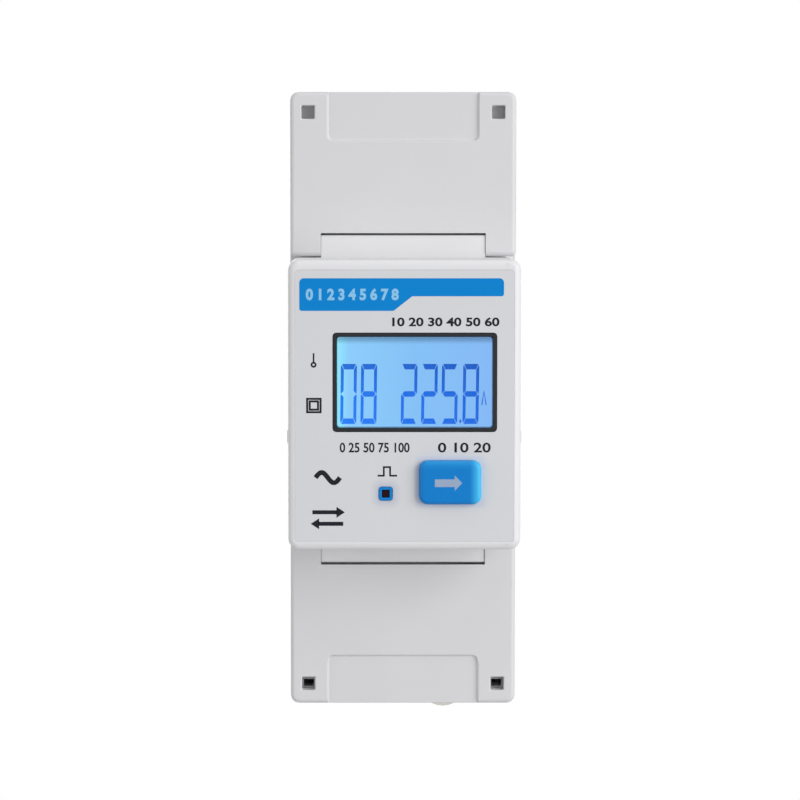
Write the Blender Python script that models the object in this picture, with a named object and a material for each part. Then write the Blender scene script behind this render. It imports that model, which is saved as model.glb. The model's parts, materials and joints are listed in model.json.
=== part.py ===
"""Two-module DIN-rail energy meter: hinged terminal covers, push button, rail latch and screw terminals.

Metres, +Z up. The front looks along -Y. The origin is the centre of the rail seat, the flat face at the
back of the housing that lies on a 35 mm top-hat rail. Each named object is one physical piece.
"""

from math import cos, pi, sin, sqrt

import bmesh
import bpy
from mathutils import Matrix, Vector

# ---------------------------------------------------------------------------------------------------------
# Driving dimensions, in metres
# ---------------------------------------------------------------------------------------------------------

# Clearances
GAP = 0.0003                # between pieces that lie against each other
INLAY_GAP = 0.00015         # around the pieces let into the front face
PIN_CLEARANCE = 0.0002      # hinge pin in its hole, radial

# Body
BODY_WIDTH = 0.0360         # two modules
BODY_HEIGHT = 0.0974
NOSE_HEIGHT = 0.0450        # the part that shows through a distribution board's cut-out
NOSE_DEPTH = 0.0580         # rail seat to front face
COVER_DEPTH = 0.0435        # rail seat to the face of the terminal covers
STEP_DEPTH = 0.0357         # rail seat to the ledge that the covers close on
PARTING_DEPTH = 0.0170      # rail seat to the line where the two housings meet
HOUSING_WALL = 0.0018
DECK_WALL = 0.0018
NOSE_EDGE_RADIUS = 0.0009
NOSE_CORNER_RADIUS = 0.0016
BODY_CORNER_RADIUS = 0.0010
NUB_PROUD = 0.00015         # small nub on each side of the nose that keeps a neighbour off the moulding
NUB_HEIGHT = 0.0019
NUB_DEPTH = 0.0016
NUB_SET_BACK = 0.0011       # behind the front face
NUB_DROP = 0.0050           # below the nose's centre

# Catches that join the two housings
SNAP_PLACE = 0.0200         # catch's middle, from the middle of the body
SNAP_LENGTH = 0.0070        # window for a catch, along the height
SNAP_WINDOW = 0.0016        # and along the depth
SNAP_STRAP = 0.0014         # wall left between the window and the parting line
SNAP_SET_BACK = 0.0004      # catch behind the body's side

# Rail side of the rear housing
FOOT_BACK = 0.0075          # feet, behind the rail seat
END_BACK = 0.0010           # ends of the body, behind the rail seat
FOOT_LENGTH = 0.0122        # along the height, from the rail's edge
FOOT_SLOPE = 0.0050
RAIL_HEIGHT = 0.0350
RAIL_FLANGE_ROOM = 0.0014   # depth left for the rail's flange
RAIL_TOP_CLEARANCE = 0.00025
RAIL_BOTTOM_CLEARANCE = 0.00075
HOOK_REACH = 0.0013         # how far the fixed hook goes behind the rail
HOOK_LIP = 0.0012
SEAT_WALL = 0.0018
SEAT_HALF = 0.0155          # raised pad that the rail's flanges lie on, from the rail's centre
SEAT_RELIEF = 0.0003        # beside the pad, under the hook and the latch

# Terminal covers and their hinges
COVER_INSET = 0.00015       # cover narrower than the body, each side
COVER_PLATE = 0.0013
DECK_ROOM = 0.0037          # under the covers' plates, down to the deck
COVER_WALL = 0.0011
COVER_EDGE_RADIUS = 0.0006
COVER_CORNER_RADIUS = 0.0012
EAR_RADIUS = 0.0014
EAR_CORNER_RADIUS = 0.0007  # front corner of the ears, next to the nose
HINGE_GAP = 0.00035         # ear to nose
PIN_RADIUS = 0.00055
PIN_LENGTH = 0.0014
EAR_WIDTH = 0.00465         # cover's side to the cut-out between its ears
NOTCH_REACH = 0.0039        # nose to the cut-out's far edge
NOTCH_UNDERCUT = 0.0010
TONGUE_SET_BACK = 0.0003    # tongue behind the face of the cover
TONGUE_SIDE_GAP = 0.0002    # tongue to the ears
TONGUE_EDGE_RADIUS = 0.0003
THUMB_SIDE = 0.00575        # cover's side to the thumb recess
THUMB_LENGTH = 0.0077
THUMB_DEPTH = 0.0005
THUMB_CORNER = 0.0010
SEAL_HOLE = 0.0021
SEAL_HOLE_SIDE = 0.00275    # hole's centre to the cover's side
SEAL_HOLE_END = 0.0031      # hole's centre to the cover's end
SEAL_LUG = 0.0029
SEAL_SLOT = 0.0012          # for the sealing wire, into each lug
SEAL_PIT = 0.0095           # blind hole under the slots at the lower end
PIT_WALL = 0.0006           # between that hole and the terminal room beside it
COVER_RIB_DEPTH = 0.0018
COVER_RIB_THICKNESS = 0.0008
COVER_RIB_SIDE = 0.0060     # rib's place from the middle

# Faceplate film and the pieces in the front face
FILM_SIDE_RIM = 0.00105     # nose's side to the film
FILM_END_RIM = 0.00145      # nose's ends to the film
FILM_THICKNESS = 0.0004
FILM_CORNER = 0.0004
FILM_DROP = 0.0002          # film's centre below the nose's centre
FRONT_WALL = 0.0016         # behind the film
DISPLAY_SIDE = 0.0037       # display to the nose's right side
DISPLAY_Z = 0.0035
DISPLAY_WIDTH = 0.0254
DISPLAY_HEIGHT = 0.0153
DISPLAY_CORNER = 0.0005
BEZEL_BORDER = 0.00065
BEZEL_SET_BACK = 0.00005
PANE_THICKNESS = 0.0008
PANE_SET_BACK = 0.0005
CELL_MARGIN = 0.0010        # display glass and backlight past the opening
CELL_THICKNESS = 0.0020
BACKLIGHT_THICKNESS = 0.0029

BUTTON_SIDE = 0.00615       # button to the nose's right side
BUTTON_Z = -0.0120
BUTTON_WIDTH = 0.0095
BUTTON_HEIGHT = 0.0067
BUTTON_CORNER = 0.00125
BUTTON_PROUD = 0.0013
BUTTON_EDGE_RADIUS = 0.0006
BUTTON_TRAVEL = 0.0008
BUTTON_FLANGE = 0.0010      # flange past the button's sides
BUTTON_FLANGE_THICKNESS = 0.0008
BUTTON_STEM_RADIUS = 0.0014

LAMP_TO_BUTTON = 0.0100     # between their centres, across
LAMP_Z = -0.0138
LAMP_BEZEL_SIZE = 0.00205
LAMP_BEZEL_CORNER = 0.0004
LAMP_BEZEL_PROUD = 0.00015
LAMP_BEZEL_FLANGE = 0.0005
LAMP_PIPE_SIZE = 0.00095
LAMP_RADIUS = 0.0010
LAMP_HEIGHT = 0.0022

# Boards
BOARD_THICKNESS = 0.0014
DISPLAY_BOARD_SIDE_ROOM = 0.0004
DISPLAY_BOARD_END_ROOM = 0.0007
MAIN_BOARD_SIDE_ROOM = 0.0007
MAIN_BOARD_END_ROOM = 0.0017
MAIN_BOARD_DEPTH = 0.0240   # rail seat to the board's front
DISPLAY_POST_RADIUS = 0.0013
DISPLAY_POST_INSET = 0.0018
MAIN_POST_RADIUS = 0.0020
MAIN_POST_SIDE = 0.0027     # post's centre to the board's side
MAIN_POST_END = 0.0045      # post's centre to the board's end
SWITCH_SIZE = 0.0060
SWITCH_HEIGHT = 0.0027
PLUNGER_RADIUS = 0.0011
PLUNGER_LENGTH = 0.0018

# What the boards carry: each piece's place across and along the body, then its size
CHIP_THICKNESS = 0.0016
PROCESSOR = {"x": 0.0, "z": 0.0090, "width": 0.0100, "height": 0.0100, "legs": 8}
METERING = {"x": -0.0060, "z": 0.0180, "width": 0.0100, "height": 0.0054, "legs": 6}
ISOLATOR = {"x": 0.0050, "z": -0.0240, "width": 0.0100, "height": 0.0075, "legs": 6}
RIBBON_X = -0.0080
RIBBON_Z = -0.0110
RIBBON_WIDTH = 0.0080
RIBBON_THICKNESS = 0.0004
RIBBON_BOW = 0.0035
SOCKET_HEIGHT = 0.0024
SOCKET_DEPTH = 0.0026
TRANSFORMER_SIDE = 0.0105   # its middle to the board's left side
TRANSFORMER_WIDTH = 0.0150
TRANSFORMER_LENGTH = 0.0140
TRANSFORMER_HEIGHT = 0.0120
TRANSFORMER_LIMB = 0.0012   # core past the winding, at both ends
TRANSFORMER_LIMB_INSET = 0.0009
CAN_SIDE = 0.0070           # its middle to the board's right side
CAN_Z = 0.0095
CAN_RADIUS = 0.0040
CAN_HEIGHT = 0.0125
BLOCK_Z = 0.01775
BLOCK_WIDTH = 0.0130
BLOCK_LENGTH = 0.0055
BLOCK_HEIGHT = 0.0110
DISC_SIDE = 0.0075          # its middle to the board's right side
DISC_Z = -0.0104
DISC_RADIUS = 0.0040
DISC_THICKNESS = 0.0032
DISC_STAND_OFF = 0.0002
PART_EDGE_RADIUS = 0.0006

# Terminals: along the height, then the two kinds
TERMINAL_INSET = 0.0072     # cage's centre from the body's end
ROOM_WALL = 0.0015          # between the terminal rooms and the electronics
SCREW_GAP = 0.0003
ENTRY_CORNER = 0.0005
POWER = {
    "count": 2, "side_inset": 0.0098, "side": 1, "pitch": 0.0007,
    "head_radius": 0.0028, "head_height": 0.0024, "shaft_radius": 0.0020,
    "cage_width": 0.0090, "cage_length": 0.0070, "cage_wall": 0.0012, "wire_room": 0.0096,
    "bar_width": 0.0060, "bar_thickness": 0.0012, "entry_width": 0.0070, "entry_height": 0.0074,
}
SIGNAL = {
    "count": 4, "side_inset": 0.00615, "side": -1, "pitch": 0.0005,
    "head_radius": 0.0019, "head_height": 0.0016, "shaft_radius": 0.0013,
    "cage_width": 0.0060, "cage_length": 0.0056, "cage_wall": 0.0008, "wire_room": 0.0060,
    "bar_width": 0.0038, "bar_thickness": 0.0008, "entry_width": 0.0046, "entry_height": 0.0048,
}
CLAMP_TURNS = 5             # turns of the screw from open to closed

# Rail latch
LATCH_X = 0.0076
LATCH_WIDTH = 0.0120
LATCH_THICKNESS = 0.0026
LATCH_TAIL_WIDTH = 0.0084
LATCH_TIP = 0.0560          # tip below the body's centre
LATCH_BITE = 0.0012         # how far the latch goes behind the rail
LATCH_TRAVEL = 0.0035
LATCH_WINDOW_WIDTH = 0.0036
LATCH_WINDOW_TOP = 0.0210   # below the body's centre
SPRING_LENGTH = 0.0078
SPRING_RADIUS = 0.00085
SPRING_WIRE_RADIUS = 0.0002
SPRING_TURNS = 7
PEG_HEIGHT = 0.0012
PEG_WIDTH = 0.0018

# Places worked out from the sizes above
HALF_WIDTH = BODY_WIDTH / 2
END = BODY_HEIGHT / 2
NOSE_END = NOSE_HEIGHT / 2
FRONT_Y = -NOSE_DEPTH
COVER_Y = -COVER_DEPTH
STEP_Y = -STEP_DEPTH
DECK_Y = COVER_Y + COVER_PLATE + DECK_ROOM
DECK_UNDER_Y = DECK_Y + DECK_WALL
PARTING_Y = -PARTING_DEPTH
SNAP_BACK_Y = PARTING_Y - SNAP_STRAP
SNAP_FRONT_Y = SNAP_BACK_Y - SNAP_WINDOW
COVER_HALF = HALF_WIDTH - COVER_INSET
DECK_HALF = COVER_HALF - COVER_WALL - GAP
DECK_END = END - COVER_WALL - GAP
PIVOT_Y = COVER_Y + EAR_RADIUS
PIVOT_Z = NOSE_END + HINGE_GAP + EAR_RADIUS
NOTCH_HALF = COVER_HALF - EAR_WIDTH
NOTCH_EDGE = NOSE_END + NOTCH_REACH
TONGUE_HALF = NOTCH_HALF - TONGUE_SIDE_GAP
SEAL_X = COVER_HALF - SEAL_HOLE_SIDE
SEAL_Z = END - SEAL_HOLE_END
FILM_WIDTH = BODY_WIDTH - 2 * FILM_SIDE_RIM
FILM_HEIGHT = NOSE_HEIGHT - 2 * FILM_END_RIM
DISPLAY_X = HALF_WIDTH - DISPLAY_SIDE - DISPLAY_WIDTH / 2
BUTTON_X = HALF_WIDTH - BUTTON_SIDE - BUTTON_WIDTH / 2
LAMP_X = BUTTON_X - LAMP_TO_BUTTON
INNER_HALF = HALF_WIDTH - HOUSING_WALL
INNER_NOSE = NOSE_END - HOUSING_WALL
FILM_Y = FRONT_Y + FILM_THICKNESS
RECESS_Y = FILM_Y + GAP
INNER_FRONT_Y = RECESS_Y + FRONT_WALL
CELL_Y = INNER_FRONT_Y + GAP
BACKLIGHT_Y = CELL_Y + CELL_THICKNESS + GAP
DISPLAY_BOARD_Y = BACKLIGHT_Y + BACKLIGHT_THICKNESS + GAP
DISPLAY_BOARD_BACK_Y = DISPLAY_BOARD_Y + BOARD_THICKNESS
MAIN_BOARD_Y = -MAIN_BOARD_DEPTH
MAIN_BOARD_BACK_Y = MAIN_BOARD_Y + BOARD_THICKNESS
DISPLAY_BOARD_HALF_X = INNER_HALF - DISPLAY_BOARD_SIDE_ROOM
DISPLAY_BOARD_HALF_Z = INNER_NOSE - DISPLAY_BOARD_END_ROOM
TERMINAL_Z = END - TERMINAL_INSET
ELECTRONICS_END = TERMINAL_Z - max(POWER["cage_length"], SIGNAL["cage_length"]) / 2 - GAP - ROOM_WALL
MAIN_BOARD_HALF_X = INNER_HALF - MAIN_BOARD_SIDE_ROOM
MAIN_BOARD_HALF_Z = ELECTRONICS_END - MAIN_BOARD_END_ROOM
TRANSFORMER_X = TRANSFORMER_SIDE - MAIN_BOARD_HALF_X
CAN_X = MAIN_BOARD_HALF_X - CAN_SIDE
DISC_X = MAIN_BOARD_HALF_X - DISC_SIDE
RAIL_TOP = RAIL_HEIGHT / 2 + RAIL_TOP_CLEARANCE
RAIL_BOTTOM = -RAIL_HEIGHT / 2 - RAIL_BOTTOM_CLEARANCE
HEAD_Y = DECK_UNDER_Y + SCREW_GAP
LATCH_Y = RAIL_FLANGE_ROOM
OUT = 0.0040                # how far a cutter runs past the face it opens

# ---------------------------------------------------------------------------------------------------------
# Modelling tools
# ---------------------------------------------------------------------------------------------------------

for old_object in list(bpy.data.objects):
    bpy.data.objects.remove(old_object, do_unlink=True)

MATERIALS = {}


def finish_for(name, colour, roughness, metallic=0.0):
    """Make a material once and give it back by name."""
    if name not in MATERIALS:
        material = bpy.data.materials.new(name)
        material.use_nodes = True
        shader = material.node_tree.nodes["Principled BSDF"]
        shader.inputs["Base Color"].default_value = (*colour, 1.0)
        shader.inputs["Roughness"].default_value = roughness
        shader.inputs["Metallic"].default_value = metallic
        MATERIALS[name] = material
    return MATERIALS[name]


HOUSING_PLASTIC = finish_for("white_housing_plastic", (0.66, 0.66, 0.67), 0.45)
COVER_PLASTIC = finish_for("white_cover_plastic", (0.63, 0.63, 0.64), 0.45)
FILM_PRINT = finish_for("printed_film", (0.62, 0.62, 0.64), 0.35)
BLUE_PLASTIC = finish_for("blue_plastic", (0.01, 0.18, 0.55), 0.30)
BLACK_PLASTIC = finish_for("black_plastic", (0.02, 0.02, 0.025), 0.40)
CLEAR_PLASTIC = finish_for("clear_plastic", (0.80, 0.85, 0.90), 0.05)
DISPLAY_GLASS = finish_for("display_glass", (0.25, 0.58, 0.95), 0.15)
RED_PLASTIC = finish_for("red_light_pipe", (0.15, 0.01, 0.01), 0.20)
BOARD_LAMINATE = finish_for("board_laminate", (0.02, 0.14, 0.05), 0.45)
STEEL = finish_for("zinc_plated_steel", (0.60, 0.60, 0.58), 0.35, 1.0)
BRASS = finish_for("tinned_brass", (0.65, 0.60, 0.45), 0.35, 1.0)
YELLOW_TAPE = finish_for("yellow_tape", (0.70, 0.48, 0.05), 0.50)
GREY_PLASTIC = finish_for("grey_plastic", (0.45, 0.45, 0.44), 0.45)


def box(low, high):
    """A box between two corners."""
    mesh = bmesh.new()
    size = Vector(high) - Vector(low)
    middle = (Vector(high) + Vector(low)) / 2
    place = Matrix.Translation(middle) @ Matrix.Diagonal((*size, 1.0))
    bmesh.ops.create_cube(mesh, size=1.0, matrix=place)
    return mesh


def prism(outline, axis, low, high):
    """A closed outline run along X, Y or Z. Its points are (y, z), (x, z) or (x, y)."""
    mesh = bmesh.new()
    if axis == "X":
        corners = [mesh.verts.new((low, a, b)) for a, b in outline]
        travel = Vector((high - low, 0, 0))
    elif axis == "Y":
        corners = [mesh.verts.new((a, low, b)) for a, b in outline]
        travel = Vector((0, high - low, 0))
    else:
        corners = [mesh.verts.new((a, b, low)) for a, b in outline]
        travel = Vector((0, 0, high - low))
    face = mesh.faces.new(corners)
    grown = bmesh.ops.extrude_face_region(mesh, geom=[face])
    moved = [part for part in grown["geom"] if isinstance(part, bmesh.types.BMVert)]
    bmesh.ops.translate(mesh, verts=moved, vec=travel)
    bmesh.ops.recalc_face_normals(mesh, faces=mesh.faces)
    return mesh


def arc(centre, radius, start, stop, steps):
    """Points on an arc, angles in turns of 360 degrees."""
    points = []
    for step in range(steps + 1):
        angle = 2 * pi * (start + (stop - start) * step / steps)
        points.append((centre[0] + radius * cos(angle), centre[1] + radius * sin(angle)))
    return points


def round_rectangle(centre, width, height, radius, steps=3):
    """A rectangle with round corners."""
    across = width / 2 - radius
    along = height / 2 - radius
    points = []
    for quarter, (side_a, side_b) in enumerate(((1, 1), (-1, 1), (-1, -1), (1, -1))):
        corner = (centre[0] + side_a * across, centre[1] + side_b * along)
        points += arc(corner, radius, quarter / 4, (quarter + 1) / 4, steps)
    return points


def rod(centre, axis, radius, low, high, sides=20):
    """A round bar along X, Y or Z."""
    return prism(arc(centre, radius, 0, 1, sides)[:-1], axis, low, high)


def soften(mesh, radius, wanted, segments=3):
    """Round the edges that the test function picks by their two ends."""
    picked = [edge for edge in mesh.edges if wanted(edge.verts[0].co, edge.verts[1].co)]
    bmesh.ops.bevel(mesh, geom=picked, offset=radius, segments=segments, profile=0.5, affect="EDGES")
    return mesh


def parallel(first, second, axis):
    """Whether an edge runs along one axis."""
    others = [number for number in range(3) if number != axis]
    return all(abs(first[number] - second[number]) < 1e-7 for number in others)


def near(value, target):
    return abs(value - target) < 1e-7


def flipped(mesh, side):
    """The same shape, turned upside down for the lower end of the body."""
    if side < 0:
        bmesh.ops.scale(mesh, verts=mesh.verts, vec=(1, 1, -1))
        bmesh.ops.reverse_faces(mesh, faces=mesh.faces)
    return mesh


def make(name, mesh, material, origin=(0, 0, 0), smooth=True):
    """Turn a mesh into a named piece with its origin on the given point."""
    bmesh.ops.translate(mesh, verts=mesh.verts, vec=-Vector(origin))
    data = bpy.data.meshes.new(name)
    mesh.to_mesh(data)
    mesh.free()
    data.materials.append(material)
    if smooth:
        data.shade_smooth()
        data.set_sharp_from_angle(angle=pi / 6)
    piece = bpy.data.objects.new(name, data)
    piece.location = origin
    bpy.context.scene.collection.objects.link(piece)
    return piece


def shape(piece, mesh, operation):
    """Add a tool body to a piece, or take it away, with a Boolean that stays on the piece."""
    number = len(piece.modifiers) + 1
    tool = make(f"tool.{piece.name}.{number}", mesh, piece.data.materials[0])
    tool.hide_render = True
    tool.display_type = "WIRE"
    change = piece.modifiers.new(f"{operation.lower()} {number}", "BOOLEAN")
    change.operation = operation
    change.solver = "EXACT"
    change.object = tool


def cut(piece, mesh):
    shape(piece, mesh, "DIFFERENCE")


def weld(piece, mesh):
    shape(piece, mesh, "UNION")


# ---------------------------------------------------------------------------------------------------------
# Terminals: sizes that the housings and the pieces share
# ---------------------------------------------------------------------------------------------------------


def clamp_places(kind):
    """Clamp centres across the body, evenly spaced between the two outer ones."""
    outer = HALF_WIDTH - kind["side_inset"]
    return [outer * (2 * number / (kind["count"] - 1) - 1) for number in range(kind["count"])]


def clamp_layout(kind):
    """Depths of a rising-cage clamp, from the deck inwards."""
    travel = CLAMP_TURNS * kind["pitch"]
    under_head = HEAD_Y + kind["head_height"]
    cage_front = under_head + SCREW_GAP + travel
    cage_under = cage_front + kind["cage_wall"]
    bar_front = cage_under + SCREW_GAP
    bar_back = bar_front + kind["bar_thickness"]
    cage_floor = cage_under + kind["wire_room"]
    cage_back = cage_floor + kind["cage_wall"]
    return {
        "under_head": under_head, "cage_front": cage_front, "cage_under": cage_under,
        "bar_front": bar_front, "bar_back": bar_back, "cage_floor": cage_floor, "cage_back": cage_back,
        "wire_y": (bar_back + cage_floor) / 2,
        "room_low": TERMINAL_Z - kind["cage_length"] / 2 - GAP,
        "room_high": TERMINAL_Z + kind["cage_length"] / 2 + GAP,
    }


# ---------------------------------------------------------------------------------------------------------
# Housings
# ---------------------------------------------------------------------------------------------------------


def corner_edges(first, second):
    """Edges along the depth at the four corners of the body."""
    return parallel(first, second, 1) and near(abs(first.z), END)


def front_housing():
    """White moulded upper shell: nose, shoulders with the terminal rooms, decks and hinge tongues."""
    rim_y = PARTING_Y - GAP / 2
    shoulders = box((-HALF_WIDTH, STEP_Y, -END), (HALF_WIDTH, rim_y, END))
    piece = make("front_housing", soften(shoulders, BODY_CORNER_RADIUS, corner_edges), HOUSING_PLASTIC)
    weld(piece, box((-DECK_HALF, DECK_Y, -DECK_END), (DECK_HALF, STEP_Y + GAP, DECK_END)))

    nose = box((-HALF_WIDTH, FRONT_Y, -NOSE_END), (HALF_WIDTH, STEP_Y + HOUSING_WALL, NOSE_END))

    def nose_corners(first, second):
        return parallel(first, second, 1)

    def nose_rim(first, second):
        return near(first.y, FRONT_Y) and near(second.y, FRONT_Y)

    soften(nose, NOSE_CORNER_RADIUS, nose_corners, 4)
    weld(piece, soften(nose, NOSE_EDGE_RADIUS, nose_rim))
    nub_front = FRONT_Y + NUB_SET_BACK
    nub_half = HALF_WIDTH + NUB_PROUD

    def nub_edges(first, second):
        return near(abs(first.x), nub_half) and near(abs(second.x), nub_half)

    for hand in (1, -1):
        nub_x = sorted((hand * nub_half, hand * (HALF_WIDTH - HOUSING_WALL / 2)))
        nub = box((nub_x[0], nub_front, -NUB_DROP - NUB_HEIGHT / 2),
                  (nub_x[1], nub_front + NUB_DEPTH, -NUB_DROP + NUB_HEIGHT / 2))
        weld(piece, soften(nub, NUB_PROUD * 2 / 3, nub_edges, 1))

    lug_low = SEAL_Z - SEAL_LUG / 2
    lug_side = SEAL_X - SEAL_LUG / 2
    lug_front = COVER_Y + COVER_PLATE + GAP
    for side in (1, -1):
        tongue_low = NOSE_END - HOUSING_WALL
        tongue = box((-TONGUE_HALF, COVER_Y + TONGUE_SET_BACK, tongue_low),
                     (TONGUE_HALF, DECK_Y + HOUSING_WALL / 2, NOTCH_EDGE - GAP))

        def tongue_edge(first, second):
            return near(first.y, second.y) and near(first.y, COVER_Y + TONGUE_SET_BACK) and \
                near(first.z, NOTCH_EDGE - GAP) and near(second.z, NOTCH_EDGE - GAP)

        weld(piece, flipped(soften(tongue, TONGUE_EDGE_RADIUS, tongue_edge, 2), side))
        for hand in (1, -1):
            lug_x = sorted((hand * lug_side, hand * (DECK_HALF - GAP)))
            lug = box((lug_x[0], lug_front, lug_low), (lug_x[1], DECK_Y + DECK_WALL / 2, DECK_END - GAP))
            weld(piece, flipped(lug, side))
            slot_x = sorted((hand * (SEAL_X - SEAL_HOLE / 2), hand * (DECK_HALF + OUT)))
            slot = box((slot_x[0], lug_front - OUT, SEAL_Z - SEAL_HOLE / 2),
                       (slot_x[1], lug_front + SEAL_SLOT, SEAL_Z + SEAL_HOLE / 2))
            cut(piece, flipped(slot, side))
            hole_x = sorted((hand * (TONGUE_HALF - PIN_LENGTH - GAP), hand * (TONGUE_HALF + OUT)))
            hole = rod((PIVOT_Y, PIVOT_Z), "X", PIN_RADIUS + PIN_CLEARANCE, hole_x[0], hole_x[1], 16)
            cut(piece, flipped(hole, side))

    # Deep blind holes under the lower seal holes, clear of the outer clamps' rooms
    pit_low = clamp_layout(SIGNAL)["room_high"] + PIT_WALL
    pit_half = SEAL_HOLE / 2 - INLAY_GAP
    for hand in (1, -1):
        pit = box((hand * SEAL_X - pit_half, lug_front + SEAL_SLOT / 2, pit_low),
                  (hand * SEAL_X + pit_half, lug_front + SEAL_PIT, SEAL_Z + pit_half))
        cut(piece, flipped(pit, -1))

    # Windows for the catches that hold the two housings together
    for hand in (1, -1):
        window_x = sorted((hand * (INNER_HALF - GAP), hand * (HALF_WIDTH + OUT)))
        for along in (SNAP_PLACE, -SNAP_PLACE):
            cut(piece, box((window_x[0], SNAP_FRONT_Y, along - SNAP_LENGTH / 2),
                           (window_x[1], SNAP_BACK_Y, along + SNAP_LENGTH / 2)))

    # Room for the electronics: the nose, then the shoulders, which widen below the ledge
    cut(piece, box((-INNER_HALF, INNER_FRONT_Y, -INNER_NOSE), (INNER_HALF, PARTING_Y + OUT, INNER_NOSE)))
    deck_inner = DECK_HALF - HOUSING_WALL * 2 / 3
    cut(piece, box((-deck_inner, DECK_UNDER_Y, -ELECTRONICS_END),
                   (deck_inner, PARTING_Y + OUT, ELECTRONICS_END)))
    cut(piece, box((-INNER_HALF, STEP_Y + HOUSING_WALL, -ELECTRONICS_END),
                   (INNER_HALF, PARTING_Y + OUT, ELECTRONICS_END)))

    # Terminal rooms, each with its screwdriver well, its wire entry and a slot for the contact bar
    for kind in (POWER, SIGNAL):
        layout = clamp_layout(kind)
        room_half = kind["cage_width"] / 2 + GAP
        slot_half = kind["bar_width"] / 2 + GAP
        for place in clamp_places(kind):
            room = box((place - room_half, DECK_UNDER_Y, layout["room_low"]),
                       (place + room_half, PARTING_Y + OUT, layout["room_high"]))
            cut(piece, flipped(room, kind["side"]))
            slot = box((place - slot_half, layout["bar_front"] - GAP, ELECTRONICS_END - OUT / 2),
                       (place + slot_half, PARTING_Y + OUT, layout["room_low"] + GAP))
            cut(piece, flipped(slot, kind["side"]))
            well = rod((place, TERMINAL_Z), "Y", kind["head_radius"] - GAP,
                       DECK_Y - OUT, DECK_UNDER_Y + OUT / 4)
            cut(piece, flipped(well, kind["side"]))
            entry = round_rectangle((place, layout["wire_y"]), kind["entry_width"], kind["entry_height"],
                                    ENTRY_CORNER, 2)
            cut(piece, flipped(prism(entry, "Z", TERMINAL_Z, END + OUT), kind["side"]))

    # Front face: recess for the film, openings for the display, the button and the pulse lamp
    recess = round_rectangle((0, -FILM_DROP), FILM_WIDTH + 2 * INLAY_GAP, FILM_HEIGHT + 2 * INLAY_GAP,
                             FILM_CORNER + INLAY_GAP)
    cut(piece, prism(recess, "Y", FRONT_Y - OUT, RECESS_Y))
    for opening in front_openings(INLAY_GAP):
        cut(piece, prism(opening, "Y", FRONT_Y - OUT, INNER_FRONT_Y + OUT / 4))

    # Posts that the display board stands on
    for across in (1, -1):
        for along in (1, -1):
            post_x = across * (DISPLAY_BOARD_HALF_X - DISPLAY_POST_INSET)
            post_z = along * (DISPLAY_BOARD_HALF_Z - DISPLAY_POST_INSET)
            weld(piece, rod((post_x, post_z), "Y", DISPLAY_POST_RADIUS, INNER_FRONT_Y - FRONT_WALL / 2,
                            DISPLAY_BOARD_Y - GAP, 12))
    return piece


def front_openings(room):
    """Outlines of what comes through the front face, with some room around each."""
    display = round_rectangle((DISPLAY_X, DISPLAY_Z), DISPLAY_WIDTH + 2 * room, DISPLAY_HEIGHT + 2 * room,
                              DISPLAY_CORNER + room)
    button = round_rectangle((BUTTON_X, BUTTON_Z), BUTTON_WIDTH + 2 * room, BUTTON_HEIGHT + 2 * room,
                             BUTTON_CORNER + room, 4)
    lamp = round_rectangle((LAMP_X, LAMP_Z), LAMP_BEZEL_SIZE + 2 * room, LAMP_BEZEL_SIZE + 2 * room,
                           LAMP_BEZEL_CORNER + room)
    return display, button, lamp


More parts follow.
